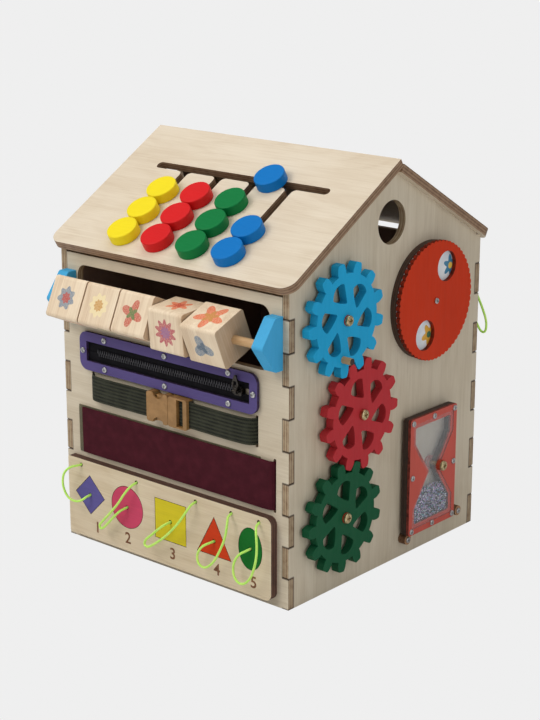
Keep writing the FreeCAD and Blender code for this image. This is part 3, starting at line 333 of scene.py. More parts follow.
def finger_burn_group() -> bpy.types.NodeTree:
    """Make dark laser lines round a corner's finger joints, from a distance across and a height.

    Returns:
        The group.
    """
    overrun = 0.0006
    across_core = 0.0004
    across_rim = 0.0015
    upright_core = 0.0003
    upright_rim = 0.0013
    graph, given, result = new_group(
        "Finger burn", [("Across", "Float"), ("Height", "Float"), ("Half", "Float"), ("Odd", "Float")],
        [("Mask", "Float")])
    reach = graph.math("ABSOLUTE", given.outputs["Across"])
    inner = graph.minus(given.outputs["Half"], WALL_THICKNESS)
    level = graph.math("DIVIDE", given.outputs["Height"], FINGER_PITCH)
    away = graph.math("ABSOLUTE", graph.minus(level, graph.math("ROUND", level)))
    away = graph.times(away, FINGER_PITCH)
    strip = graph.math("GREATER_THAN", reach, graph.minus(inner, overrun))
    across_line = graph.times(graph.span(away, across_core, across_rim, 1.0, 0.0), strip)
    row = graph.math("MODULO", graph.math("FLOOR", level), 2.0)
    missing = graph.math("ABSOLUTE", graph.minus(row, given.outputs["Odd"]))
    missing = graph.math("LESS_THAN", missing, 0.5)
    beside = graph.math("ABSOLUTE", graph.minus(reach, inner))
    upright_line = graph.times(graph.span(beside, upright_core, upright_rim, 1.0, 0.0), missing)
    graph.feed(result.inputs["Mask"], graph.math("MAXIMUM", across_line, upright_line))
    return graph.tree


def weave_group() -> bpy.types.NodeTree:
    """Make the height of a plain weave over a flat vector, with ribs along and across.

    Returns:
        The group.
    """
    graph, given, result = new_group(
        "Weave", [("Vector", "Vector"), ("Along", "Float"), ("Across", "Float")], [("Height", "Float")])
    u, v, _ = graph.split(given.outputs["Vector"])
    rib = graph.math("SINE", graph.times(graph.math("DIVIDE", u, given.outputs["Along"]), math.tau))
    yarn = graph.math("SINE", graph.times(graph.math("DIVIDE", v, given.outputs["Across"]), math.tau))
    fuzz = graph.noise(given.outputs["Vector"], 2500.0, 2.0)
    height = graph.times(graph.plus(rib, 1.0), 0.35)
    height = graph.plus(height, graph.times(graph.times(rib, yarn), 0.3))
    height = graph.plus(height, graph.times(fuzz, 0.3))
    graph.feed(result.inputs["Height"], height)
    return graph.tree


def rosette_group() -> bpy.types.NodeTree:
    """Make a flower or star about the middle of a flat vector, as a soft-edged mask.

    Returns:
        The group.
    """
    softness = 0.0003
    graph, given, result = new_group(
        "Rosette", [("Vector", "Vector"), ("Petals", "Float"), ("Radius", "Float"), ("Depth", "Float"),
                    ("Turn", "Float")], [("Mask", "Float")])
    u, v, _ = graph.split(given.outputs["Vector"])
    angle = graph.plus(graph.math("ARCTAN2", v, u), given.outputs["Turn"])
    distance = graph.math("SQRT", graph.plus(graph.times(u, u), graph.times(v, v)))
    swing = graph.math("COSINE", graph.times(angle, given.outputs["Petals"]))
    swing = graph.times(swing, given.outputs["Depth"])
    rim = graph.times(graph.plus(swing, 1.0), given.outputs["Radius"])
    graph.feed(result.inputs["Mask"], graph.span(graph.minus(rim, distance), -softness, softness))
    return graph.tree


GRAIN = wood_grain_group()
PLY_EDGE = ply_edge_group()
FINGER_BURN = finger_burn_group()
WEAVE = weave_group()
ROSETTE = rosette_group()


def new_surface(name: str) -> tuple[bpy.types.Material, Graph, bpy.types.Node, bpy.types.NodeSocket]:
    """Start a material.

    Args:
        name: The material's name.

    Returns:
        The material, its graph, its Principled node and its object position.
    """
    material = bpy.data.materials.new(name)
    material.use_nodes = True
    material.node_tree.nodes.clear()
    graph = Graph(material.node_tree)
    shader = graph.add("ShaderNodeBsdfPrincipled")
    output = graph.add("ShaderNodeOutputMaterial")
    graph.feed(output.inputs["Surface"], shader.outputs[0])
    position = graph.add("ShaderNodeTexCoord").outputs["Object"]
    return material, graph, shader, position


def bumped(graph: Graph, shader: bpy.types.Node, height: bpy.types.NodeSocket, strength: float,
           distance: float) -> None:
    """Join a height to a shader's normal through a bump.

    Args:
        graph: The graph that holds the shader.
        shader: The shader to bump.
        height: The height to join.
        strength: How strongly the bump tilts the normal, from 0 to 1.
        distance: How deep the relief is.
    """
    bump = graph.add("ShaderNodeBump", {"Height": height, "Strength": strength, "Distance": distance})
    graph.feed(shader.inputs["Normal"], bump.outputs[0])


class Grain(Enum):
    """Which way the grain runs, as the order of axes that puts it along the texture's X."""

    ALONG_X = (0, 1, 2)
    ALONG_Y = (1, 0, 2)
    ALONG_Z = (2, 0, 1)


def grain_vector(graph: Graph, position: Any, grain: Grain) -> bpy.types.NodeSocket:
    """Reorder a position so that the grain runs along X.

    Args:
        graph: The graph to add to.
        position: The position to reorder.
        grain: Which way the grain runs.

    Returns:
        The reordered position.
    """
    parts = graph.split(position)
    return graph.join(*(parts[axis] for axis in grain.value))


def surface_normal(graph: Graph) -> bpy.types.NodeSocket:
    """Return the normal of the surface, in the row frame."""
    return graph.add("ShaderNodeTexCoord").outputs["Normal"]


def edge_mask(graph: Graph, normal: Any, axis: Point) -> bpy.types.NodeSocket:
    """Tell a plate's cut edges from its faces.

    Args:
        graph: The graph to add to.
        normal: The normal of the surface, in the plate's own frame.
        axis: The plate's own normal.

    Returns:
        1 where the surface faces away from the axis, and 0 on the plate's faces.
    """
    facing = graph.math("ABSOLUTE", graph.dot(normal, axis))
    return graph.math("LESS_THAN", facing, EDGE_FACING)


@dataclass(frozen=True)
class Plywood:
    """Sanded birch plywood with browned, layered edges.

    Attributes:
        name: The material's name.
        light: Colour of the clear wood.
        dark: Colour of the grain.
        face_axis: The plate's own normal.
        grain: Which way the grain runs.
        edge_light: Colour of the paler layers of the edge.
        edge_dark: Colour of the burnt layers of the edge.
        burn: Colour of the laser lines round the finger joints.
        inside: Colour of the painted shade that darkens a wall's inner face.
        slope: Angle about X by which the plate leans.
        corner: For a wall, its half width up to the corner, and 1 or 0 for the rows that it leaves out.
        strength: How much the grain shows.
    """

    name: str
    light: Colour
    dark: Colour
    face_axis: Point
    grain: Grain
    edge_light: Colour = srgb(150, 118, 84)
    edge_dark: Colour = srgb(60, 38, 24)
    burn: Colour = srgb(52, 32, 20)
    # Painted shade for the inner faces of the walls: a dark reddish brown
    inside: Colour = srgb(112, 70, 56)
    slope: float = 0.0
    corner: tuple[float, float] | None = None
    strength: float = 0.55

    def build(self) -> bpy.types.Material:
        """Make the material.

        Returns:
            The finished material.
        """
        material, graph, shader, position = new_surface(self.name)
        position = self.upright(graph, position)
        vector = grain_vector(graph, position, self.grain)
        wood = graph.group(GRAIN, {"Vector": vector, "Light": self.light, "Dark": self.dark,
                                   "Strength": self.strength})
        edge = edge_mask(graph, self.upright(graph, surface_normal(graph)), self.face_axis)
        across = graph.dot(position, self.face_axis)
        ply = graph.group(PLY_EDGE, {"Vector": position, "Across": across, "Veneer": 2 * VENEER,
                                     "Light": self.edge_light, "Dark": self.edge_dark})
        colour = graph.blend(edge, wood.outputs["Colour"], ply.outputs["Colour"])
        # Walls get painted shade on their inner faces and laser lines at their finger joints
        if self.corner:
            colour = self.wall_marks(graph, position, across, colour)
        graph.feed(shader.inputs["Base Color"], colour)
        graph.feed(shader.inputs["Roughness"], graph.span(wood.outputs["Height"], 0.0, 0.6, 0.52, 0.66))
        bumped(graph, shader, wood.outputs["Height"], GRAIN_BUMP, GRAIN_RELIEF)
        return material

    def upright(self, graph: Graph, source: Any) -> Any:
        """Turn a vector back by the plate's slope.

        Args:
            graph: The graph to add to.
            source: A vector in the row frame.

        Returns:
            The vector in the plate's own frame.
        """
        if not self.slope:
            return source
        return graph.add("ShaderNodeVectorRotate", {"Vector": source, "Angle": -self.slope},
                         rotation_type="X_AXIS").outputs[0]

    def wall_marks(self, graph: Graph, position: Any, across: Any, colour: Any) -> bpy.types.NodeSocket:
        """Darken a wall's inner face with painted shade, and burn the laser lines round its finger joints.

        Args:
            graph: The graph to add to.
            position: The position in the row frame.
            across: The position along the wall's own normal.
            colour: The wall's colour so far.

        Returns:
            The marked colour.
        """
        # An inner face looks back at the middle, so its normal and its place have opposite signs
        facing = graph.dot(surface_normal(graph), self.face_axis)
        inner = graph.math("LESS_THAN", graph.times(facing, across), -0.05)
        # Painted shade: inner faces are blended most of the way to a dark reddish brown
        colour = graph.blend(graph.times(inner, 0.8), colour, self.inside)
        x, y, z = graph.split(position)
        side = x if abs(self.face_axis[1]) > 0.5 else y
        half, odd = self.corner
        burn = graph.group(FINGER_BURN, {"Across": side, "Height": z, "Half": half, "Odd": odd})
        return graph.blend(graph.times(burn.outputs["Mask"], 0.8), colour, self.burn)


@dataclass(frozen=True)
class SolidWood:
    """Bare turned or sawn wood with the grain along one axis.

    Attributes:
        name: The material's name.
        light: Colour of the clear wood.
        dark: Colour of the grain.
        grain: Which way the grain runs.
        charred_from: X beyond which the end is darkened, or None.
    """

    name: str
    light: Colour
    dark: Colour
    grain: Grain
    charred_from: float | None = None

    def build(self) -> bpy.types.Material:
        """Make the material.

        Returns:
            The finished material.
        """
        material, graph, shader, position = new_surface(self.name)
        vector = grain_vector(graph, position, self.grain)
        wood = graph.group(GRAIN, {"Vector": vector, "Light": self.light, "Dark": self.dark,
                                   "Strength": 0.6})
        colour = wood.outputs["Colour"]
        if self.charred_from:
            # Beyond this X the wood turns a near-black brown
            darkened_end = graph.span(graph.split(position)[0], self.charred_from - 0.0004, self.charred_from)
            colour = graph.blend(darkened_end, colour, srgb(44, 28, 20))
        graph.feed(shader.inputs["Base Color"], colour)
        graph.feed(shader.inputs["Roughness"], graph.span(wood.outputs["Height"], 0.0, 0.6, 0.48, 0.64))
        bumped(graph, shader, wood.outputs["Height"], GRAIN_BUMP, GRAIN_RELIEF)
        return material


@dataclass(frozen=True)
class Paint:
    """Paint or stain over wood, with the grain just showing and worn edges, browned by the laser on most
    pieces and darker paint as painted shade on the gears.

    Attributes:
        name: The material's name.
        colour: Colour of the paint.
        face_axis: The plate's own normal, or None for a turned piece painted all over.
        edge: Colour of the cut edge: laser browning, except on the gears, where it is the paint darkened as
            painted shade.
        gloss: How shiny the coat is, from 0 to 1.
        grain: Which way the grain runs.
        grain_show: How much the grain darkens the paint.
    """

    name: str
    colour: Colour
    face_axis: Point | None = None
    edge: Colour = srgb(60, 38, 24)
    gloss: float = 0.35
    grain: Grain = Grain.ALONG_Z
    grain_show: float = 0.35

    def build(self) -> bpy.types.Material:
        """Make the material.

        Returns:
            The finished material.
        """
        material, graph, shader, position = new_surface(self.name)
        vector = grain_vector(graph, position, self.grain)
        darker = tuple(value * 0.62 for value in self.colour)
        wood = graph.group(GRAIN, {"Vector": vector, "Light": self.colour, "Dark": darker,
                                   "Strength": self.grain_show})
        colour = wood.outputs["Colour"]
        brush = graph.noise(graph.scaled(vector, (90.0, 420.0, 420.0)), 1.0, 3.0)
        # Cut edges take the edge colour in noisy patches: laser browning on most pieces, painted shade on
        # the gears
        if self.face_axis:
            mask = edge_mask(graph, surface_normal(graph), self.face_axis)
            char = graph.span(graph.noise(position, 220.0, 3.0), 0.3, 0.75, 0.55, 1.0)
            colour = graph.blend(graph.times(mask, char), colour, self.edge)
        graph.feed(shader.inputs["Base Color"], colour)
        graph.feed(shader.inputs["Roughness"], graph.span(brush, 0.3, 0.7, 0.62 - 0.4 * self.gloss,
                                                          0.74 - 0.4 * self.gloss))
        graph.feed(shader.inputs["Specular IOR Level"], 0.06 + 0.2 * self.gloss)
        graph.feed(shader.inputs["Coat Weight"], self.gloss * 0.08)
        graph.feed(shader.inputs["Coat Roughness"], 0.25)
        height = graph.plus(graph.times(wood.outputs["Height"], 0.5), graph.times(brush, 0.5))
        bumped(graph, shader, height, 0.22, 0.00025)
        return material


@dataclass(frozen=True)
class Metal:
    """Plated or cast metal with fine scratches and dull patches.

    Attributes:
        name: The material's name.
        colour: Colour of the metal.
        tarnish: Colour of the dull patches.
        roughness: Base roughness.
    """

    name: str
    colour: Colour
    tarnish: Colour
    roughness: float = 0.28

    def build(self) -> bpy.types.Material:
        """Make the material.

        Returns:
            The finished material.
        """
        material, graph, shader, position = new_surface(self.name)
        patches = graph.span(graph.noise(position, 500.0, 3.0), 0.4, 0.75)
        scratches = graph.noise(graph.scaled(position, (900.0, 900.0, 5200.0)), 1.0, 2.0)
        graph.feed(shader.inputs["Base Color"], graph.blend(patches, self.colour, self.tarnish))
        graph.feed(shader.inputs["Metallic"], 1.0)
        graph.feed(shader.inputs["Roughness"], graph.span(scratches, 0.3, 0.7, self.roughness,
                                                          self.roughness + 0.18))
        bumped(graph, shader, scratches, 0.12, 0.0001)
        return material


@dataclass(frozen=True)
class Cloth:
    """A woven or looped textile read from the piece's own weave coordinates.

    Attributes:
        name: The material's name.
        colour: Colour of the yarn tops.
        deep: Colour of the painted shade between the yarns.
        along: Rib pitch along the piece.
        across: Yarn pitch across the piece.
        relief: Depth of the weave.
        sheen: How much the fibres catch light from the side.
        lengthwise: Whether the ribs run along the piece instead of across it.
    """

    name: str
    colour: Colour
    deep: Colour
    along: float
    across: float
    relief: float = 0.0003
    sheen: float = 0.3
    lengthwise: bool = False

    def build(self) -> bpy.types.Material:
        """Make the material.

        Returns:
            The finished material.
        """
        material, graph, shader, _ = new_surface(self.name)
        flat = graph.add("ShaderNodeUVMap", uv_map="Weave").outputs[0]
        if self.lengthwise:
            lengthways, crossways, _ = graph.split(flat)
            flat = graph.join(crossways, lengthways, 0.0)
        weave = graph.group(WEAVE, {"Vector": flat, "Along": self.along, "Across": self.across})
        lint = graph.noise(flat, 90.0, 3.0)
        # Painted shade: the colour darkens towards deep where the weave is low, between the yarns
        tone = graph.blend(graph.span(weave.outputs["Height"], 0.1, 0.8), self.deep, self.colour)
        worn = graph.blend(graph.span(lint, 0.35, 0.75, 0.0, 0.35), tone,
                           tuple(min(1.0, value * 1.5 + 0.004) for value in self.colour))
        graph.feed(shader.inputs["Base Color"], worn)
        graph.feed(shader.inputs["Roughness"], 0.86)
        graph.feed(shader.inputs["Specular IOR Level"], 0.15)
        graph.feed(shader.inputs["Sheen Weight"], self.sheen)
        graph.feed(shader.inputs["Sheen Roughness"], 0.5)
        bumped(graph, shader, weave.outputs["Height"], 0.8, self.relief)
        return material


@dataclass(frozen=True)
class Plastic:
    """Moulded plastic with a fine texture and lighter dusty patches.

    Attributes:
        name: The material's name.
        colour: Colour of the plastic.
        roughness: Base roughness.
    """

    name: str
    colour: Colour
    roughness: float = 0.42

    def build(self) -> bpy.types.Material:
        """Make the material.

        Returns:
            The finished material.
        """
        material, graph, shader, position = new_surface(self.name)
        cloud = graph.span(graph.noise(position, 120.0, 3.0), 0.35, 0.7)
        lighter = tuple(min(1.0, value * 1.3 + 0.01) for value in self.colour)
        grit = graph.noise(position, 4200.0, 2.0)
        graph.feed(shader.inputs["Base Color"], graph.blend(cloud, self.colour, lighter))
        graph.feed(shader.inputs["Roughness"], graph.span(grit, 0.3, 0.7, self.roughness,
                                                          self.roughness + 0.12))
        bumped(graph, shader, grit, 0.15, 0.0001)
        return material


def clear_pane_material() -> bpy.types.Material:
    """Make thin clear acrylic with a few faint scuffs.

    Returns:
        The finished material.
    """
    material, graph, shader, position = new_surface("Clear acrylic")
    scuff = graph.span(graph.noise(graph.scaled(position, (60.0, 900.0, 200.0)), 1.0, 3.0), 0.62, 0.8)
    graph.feed(shader.inputs["Base Color"], (0.95, 0.97, 0.98))
    graph.feed(shader.inputs["Roughness"], graph.plus(graph.times(scuff, 0.2), 0.04))
    graph.feed(shader.inputs["Alpha"], graph.plus(graph.times(scuff, 0.08), 0.09))
    graph.feed(shader.inputs["Specular IOR Level"], 0.5)
    bumped(graph, shader, scuff, 0.05, 0.0001)
    return material


def bead_material() -> bpy.types.Material:
    """Make glitter in lilac, teal, white and dark tones, one tone to a bead.

    Returns:
        The finished material.
    """
    material, graph, shader, _ = new_surface("Glitter beads")
    tone = graph.add("ShaderNodeAttribute", attribute_name="tone").outputs["Fac"]
    ramp = graph.add("ShaderNodeValToRGB", {"Fac": tone})
    ramp.color_ramp.interpolation = "CONSTANT"
    steps = ((0.0, srgb(235, 235, 240)), (0.22, srgb(150, 140, 195)), (0.42, srgb(90, 170, 180)),
             (0.58, srgb(60, 60, 90)), (0.72, srgb(200, 175, 215)), (0.88, srgb(30, 32, 40)))
    elements = ramp.color_ramp.elements
    elements[0].color = (*steps[0][1], 1.0)
    elements[1].position = steps[1][0]
    elements[1].color = (*steps[1][1], 1.0)
    for place, colour in steps[2:]:
        elements.new(place).color = (*colour, 1.0)
    graph.feed(shader.inputs["Base Color"], ramp.outputs[0])
    graph.feed(shader.inputs["Roughness"], graph.span(tone, 0.0, 1.0, 0.12, 0.3))
    graph.feed(shader.inputs["Metallic"], graph.math("GREATER_THAN", tone, 0.5))
    graph.feed(shader.inputs["Coat Weight"], 0.6)
    return material


def picture_material() -> bpy.types.Material:
    """Make the disc behind the spinner: a pale printed ground with two simple flowers of its own design.

    Returns:
        The finished material.
    """
    ring_radius = 0.0345
    ring_y = 0.0115
    ring_z = -0.002
    heart_radius = 0.0032
    material, graph, shader, position = new_surface("Printed disc")
    _, y, z = graph.split(position)
    centre = graph.join(graph.minus(y, SPINNER_Y), graph.minus(z, SPINNER_Z), 0.0)
    wash = graph.noise(centre, 60.0, 3.0)
    colour = graph.blend(graph.span(wash, 0.3, 0.7), srgb(236, 238, 240), srgb(212, 220, 226))
    blooms = ((62.5, 6.0, 0.0085, srgb(60, 130, 165), srgb(245, 205, 90)),
              (242.5, 5.0, 0.0088, srgb(225, 170, 60), srgb(70, 120, 90)))
    for degrees, petals, radius, outer, inner in blooms:
        angle = math.radians(degrees)
        place = (ring_radius * math.cos(angle) + ring_y, ring_radius * math.sin(angle) + ring_z, 0.0)
        local = graph.vector("SUBTRACT", centre, place)
        flower = graph.group(ROSETTE, {"Vector": local, "Petals": petals, "Radius": radius, "Depth": 0.3,
                                       "Turn": 0.4})
        heart = graph.group(ROSETTE, {"Vector": local, "Petals": 1.0, "Radius": heart_radius, "Depth": 0.0,
                                      "Turn": 0.0})
        colour = graph.blend(flower.outputs["Mask"], colour, outer)
        colour = graph.blend(heart.outputs["Mask"], colour, inner)
    graph.feed(shader.inputs["Base Color"], colour)
    graph.feed(shader.inputs["Roughness"], graph.span(wash, 0.3, 0.7, 0.4, 0.5))
    return material


@dataclass(frozen=True)
class CubeFinish:
    """Pale wood with a small printed flower or star of its own design on each long face.

    Attributes:
        name: The material's name.
        middle_x: Place of the cube's middle along the bar.
        tilt: How far the cube is turned on the bar, in degrees.
        prints: Petals, radius, depth, outer colour and inner colour of each of the four faces.
        printed_from: Distance from the cube's middle beyond which its long faces are printed.
    """

    name: str
    middle_x: float
    tilt: float
    prints: tuple[tuple[float, float, float, Colour, Colour], ...]
    printed_from: float = 0.0197

    def build(self) -> bpy.types.Material:
        """Make the material.

        Returns:
            The finished material.
        """
        material, graph, shader, position = new_surface(self.name)
        centred = graph.vector("SUBTRACT", position, (self.middle_x, BAR_Y, BAR_Z))
        local = graph.add("ShaderNodeVectorRotate", {"Vector": centred, "Angle": -math.radians(self.tilt)},
                          rotation_type="X_AXIS").outputs[0]
        vector = grain_vector(graph, local, Grain.ALONG_Z)
        shifted = graph.vector("ADD", vector, (self.middle_x * 7.0, self.middle_x * 3.0, 0.0))
        wood = graph.group(GRAIN, {"Vector": shifted, "Light": srgb(240, 222, 194),
                                   "Dark": srgb(180, 140, 98), "Strength": 0.55})
        end_grain = graph.minus(1.0, edge_mask(graph, surface_normal(graph), X_AXIS))
        colour = graph.blend(graph.times(end_grain, 0.55), wood.outputs["Colour"], srgb(160, 122, 86))
        x, y, z = graph.split(local)
        # Front, top, back and underside: the axis out of the face, its sign, and the axis up the print
        faces = ((y, -1.0, z), (z, 1.0, y), (y, 1.0, z), (z, -1.0, y))
        for (depth, sign, upward), (petals, radius, swing, outer, inner) in zip(faces, self.prints):
            on_face = graph.math("GREATER_THAN", graph.times(depth, sign), self.printed_from)
            flat = graph.join(x, upward, 0.0)
            ink = graph.span(graph.noise(flat, 700.0, 3.0), 0.3, 0.7, 0.55, 0.95)
            for size, paint, turn in ((radius, outer, 0.3), (radius * 0.5, inner, 0.9)):
                shape = graph.group(ROSETTE, {"Vector": flat, "Petals": petals, "Radius": size,
                                              "Depth": swing, "Turn": turn})
                mask = graph.times(graph.times(shape.outputs["Mask"], on_face), ink)
                colour = graph.blend(mask, colour, paint)
        graph.feed(shader.inputs["Base Color"], colour)
        graph.feed(shader.inputs["Roughness"], 0.55)
        bumped(graph, shader, wood.outputs["Height"], GRAIN_BUMP, GRAIN_RELIEF)
        return material


def put_material(node: str, material: bpy.types.Material) -> None:
    """Give a kept CAD node a material.

    Args:
        node: The node's name.
        material: Its material.
    """
    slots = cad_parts[node].data.materials
    slots.clear()
    slots.append(material)
    LOG.info("finish %s on %s", material.name, node)


def mesh_object(name: str, points: Sequence[Sequence[float]], faces: Sequence[Sequence[int]],
                material: bpy.types.Material, smooth_angle: float = 40.0) -> bpy.types.Object:
    """Make a mesh object at the origin.

    Args:
        name: The piece's name.
        points: Its corners, in the row frame.
        faces: Its faces, as numbers of corners.
        material: Its material.
        smooth_angle: Edges sharper than this stay sharp, in degrees.

    Returns:
        The new object, linked to the scene.
    """
    mesh = bpy.data.meshes.new(name)
    mesh.from_pydata([tuple(point) for point in points], [], [tuple(face) for face in faces])
    mesh.validate()
    for polygon in mesh.polygons:
        polygon.use_smooth = True
    mesh.set_sharp_from_angle(angle=math.radians(smooth_angle))
    mesh.materials.append(material)
    piece = bpy.data.objects.new(name, mesh)
    bpy.context.scene.collection.objects.link(piece)
    return piece


def smooth_line(name: str, route: Sequence[Point]) -> list[Vector]:
    """Follow a route with a smooth curve.

    Args:
        name: A name for the short-lived curve.
        route: Control points, in metres.

    Returns:
        Points along the curve.
    """
    curve = bpy.data.curves.new(name, "CURVE")
    curve.dimensions = "3D"
    spline = curve.splines.new("NURBS")
    spline.points.add(len(route) - 1)
    for point, place in zip(spline.points, route):
        point.co = (*place, 1.0)
    spline.order_u = 3
    spline.use_endpoint_u = True
    spline.resolution_u = 10
    holder = bpy.data.objects.new(name, curve)
    bpy.context.scene.collection.objects.link(holder)
    bpy.context.view_layer.update()
    mesh = bpy.data.meshes.new_from_object(holder)
    line = [vertex.co.copy() for vertex in mesh.vertices]
    bpy.data.objects.remove(holder)
    bpy.data.meshes.remove(mesh)
    bpy.data.curves.remove(curve)
    return line


def swept_faces(rings: int, sides: int) -> list[list[int]]:
    """Join rings of corners into a tube with closed ends.

    Args:
        rings: How many rings there are.
        sides: Corners of each ring.

    Returns:
        The faces, as numbers of corners counted ring by ring.
    """
    faces: list[list[int]] = []
    for ring in range(rings - 1):
        low = ring * sides
        for step in range(sides):
            following = (step + 1) % sides
            faces.append([low + step, low + following, low + sides + following, low + sides + step])
    faces.append(list(range(sides))[::-1])
    faces.append([(rings - 1) * sides + step for step in range(sides)])
    return faces


def sweep_tube(name: str, line: Sequence[Vector], radius: float, sides: int,
               material: bpy.types.Material) -> bpy.types.Object:
    """Sweep a round section along a line, with capped ends and a weave map along the tube.

    Args:
        name: The piece's name.
        line: Points of the centreline.
        radius: Radius of the tube.
        sides: Corners of the section.
        material: Its material.

    Returns:
        The tube.
    """
    points: list[Vector] = []
    flat: list[tuple[float, float]] = []
    across = Vector(Z_AXIS)
    length = 0.0
    for index, centre in enumerate(line):
        before = line[max(index - 1, 0)]
        after = line[min(index + 1, len(line) - 1)]
        ahead = (after - before).normalized()
        across = (across - ahead * across.dot(ahead)).normalized()
        side = ahead.cross(across)
        length += (centre - before).length
        for step in range(sides):
            angle = math.tau * step / sides
            points.append(centre + (across * math.cos(angle) + side * math.sin(angle)) * radius)
            flat.append((length, radius * angle))
    tube = mesh_object(name, points, swept_faces(len(line), sides), material, 70.0)
    weave_map(tube, flat)
    return tube


def weave_map(piece: bpy.types.Object, flat: Sequence[tuple[float, float]]) -> None:
    """Give a mesh the flat position of each corner, for its weave.

    Args:
        piece: The mesh object.
        flat: The flat position of each corner, along and across.
    """
    layer = piece.data.uv_layers.new(name="Weave")
    for loop in piece.data.loops:
        layer.data[loop.index].uv = flat[loop.vertex_index]


@dataclass(frozen=True)
class Ribbon:
    """A flat textile that follows a line in plan and stands upright between two heights.

    Attributes:
        name: The piece's name.
        route: Middle of the thickness, as X and Y in metres.
        low: Lower edge.
        high: Upper edge.
        thickness: Thickness of the cloth.
        rows: Divisions over the height.
        ripple: How far the cloth wanders from flat.
        selvedge: Thickness at the edges, as a share of the full one.
    """

    name: str
    route: tuple[tuple[float, float], ...]
    low: float
    high: float
    thickness: float
    rows: int = 12
    ripple: float = 0.0
    selvedge: float = 0.55

    def build(self, material: bpy.types.Material) -> tuple[bpy.types.Object, float]:
        """Make the ribbon as a closed thin solid with rounded selvedges.

        Args:
            material: Its material.

        Returns:
            The ribbon and its length.
        """
        line = smooth_line(self.name + "_line", [(x, y, 0.0) for x, y in self.route])
        section: list[tuple[float, float]] = []
        half = self.thickness / 2
        selvedge_run = self.thickness * 1.2
        span = self.high - self.low
        for row in range(self.rows + 1):
            share = row / self.rows
            edge = min(share, 1.0 - share) * span
            thin = half * min(1.0, self.selvedge + (1.0 - self.selvedge) * edge / selvedge_run)
            section.append((self.low + share * span, thin))
        ring = [(z, thin) for z, thin in section] + [(z, -thin) for z, thin in reversed(section)]
        points: list[tuple[float, float, float]] = []
        flat: list[tuple[float, float]] = []
        length = 0.0
        for index, centre in enumerate(line):
            before = line[max(index - 1, 0)]
            after = line[min(index + 1, len(line) - 1)]
            ahead = (after - before).normalized()
            out = Vector((ahead.y, -ahead.x, 0.0))
            length += (centre - before).length
            for z, push in ring:
                place = centre + out * (push + self.wander(length, z))
                points.append((place.x, place.y, z))
                flat.append((length, z))
        piece = mesh_object(self.name, points, swept_faces(len(line), len(ring)), material, 50.0)
        recalculate_outwards(piece)
        weave_map(piece, flat)
        return piece, length

    def wander(self, along: float, height: float) -> float:
        """Return how far the cloth stands off its line, in two slow waves.

        Args:
            along: Distance along the ribbon.
            height: Height on the ribbon.

        Returns:
            The distance, outwards or inwards.
        """
        quick = math.sin(along * 95.0 + height * 60.0)
        slow = math.sin(along * 31.0 + 1.0)
        return self.ripple * quick * slow


def recalculate_outwards(piece: bpy.types.Object) -> None:
    """Turn a closed mesh's faces outwards."""
    work = bmesh.new()
    work.from_mesh(piece.data)
    bmesh.ops.recalc_face_normals(work, faces=work.faces)
    work.to_mesh(piece.data)
    work.free()


def geometry_group(name: str,
                   takes: Sequence[tuple[str, str]]) -> tuple[Graph, bpy.types.Node, bpy.types.Node]:
    """Start a Geometry Nodes group that takes and gives geometry.

    Args:
        name: The group's name.
        takes: Names and kinds of its further inputs.

    Returns:
        The graph, its input node and its output node.
    """
    tree = bpy.data.node_groups.new(name, "GeometryNodeTree")
    tree.interface.new_socket(name="Geometry", in_out="INPUT", socket_type="NodeSocketGeometry")
    for label, kind in takes:
        tree.interface.new_socket(name=label, in_out="INPUT", socket_type="NodeSocket" + kind)
    tree.interface.new_socket(name="Geometry", in_out="OUTPUT", socket_type="NodeSocketGeometry")
    graph = Graph(tree)
    return graph, graph.add("NodeGroupInput"), graph.add("NodeGroupOutput")


def keep_result(piece: bpy.types.Object, modifier: bpy.types.Modifier) -> None:
    """Replace a piece's mesh with what its modifier makes, and drop the modifier.

    Args:
        piece: The piece.
        modifier: Its only modifier.
    """
    bpy.context.view_layer.update()
    evaluated = piece.evaluated_get(bpy.context.evaluated_depsgraph_get())
    mesh = bpy.data.meshes.new_from_object(evaluated)
    piece.modifiers.remove(modifier)
    piece.data = mesh


def grow(piece: bpy.types.Object, tree: bpy.types.NodeTree, values: dict[str, Any]) -> None:
    """Run a Geometry Nodes group on a piece and keep its result as plain mesh.

    Args:
        piece: The piece whose mesh feeds the group.
        tree: The group.
        values: Input name to value.
    """
    modifier = piece.modifiers.new("Nodes", "NODES")
    modifier.node_group = tree
    for item in tree.interface.items_tree:
        if item.item_type == "SOCKET" and item.in_out == "INPUT" and item.name in values:
            modifier[item.identifier] = values[item.name]
    keep_result(piece, modifier)


@dataclass
class LacingCord:
    """One lime cord of the lacing panel, from its hole in the panel to its hole in a shape.

    Attributes:
        name: The piece's name.
        insert: The body of the shape it ends in, or None for the lace on the back wall.
        route: Control points, in metres.
        length: Length of its tube in CAD; not used.
        diameter: Thickness of the cord.
        sides: Corners of its round section.
    """

    name: str
    insert: str | None
    route: tuple[Point, ...]
    length: float
    diameter: float = 0.0023
    sides: int = 12

    def build(self, material: bpy.types.Material) -> bpy.types.Object:
        """Make the cord.

        Args:
            material: Its material.

        Returns:
            The cord's tube.
        """
        line = smooth_line(self.name + "_line", self.route)
        tube = sweep_tube(self.name, line, self.diameter / 2, self.sides, material)
        recalculate_outwards(tube)
        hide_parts("lime_cords")
        if self.insert:
            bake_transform(tube)
        else:
            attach(tube, Body.HOUSE.value)
        LOG.info("cord %s", self.name)
        return tube


def millimetres(*route: Point) -> tuple[Point, ...]:
    """Return a route given in millimetres as metres."""
    return tuple((x * MM, y * MM, z * MM) for x, y, z in route)


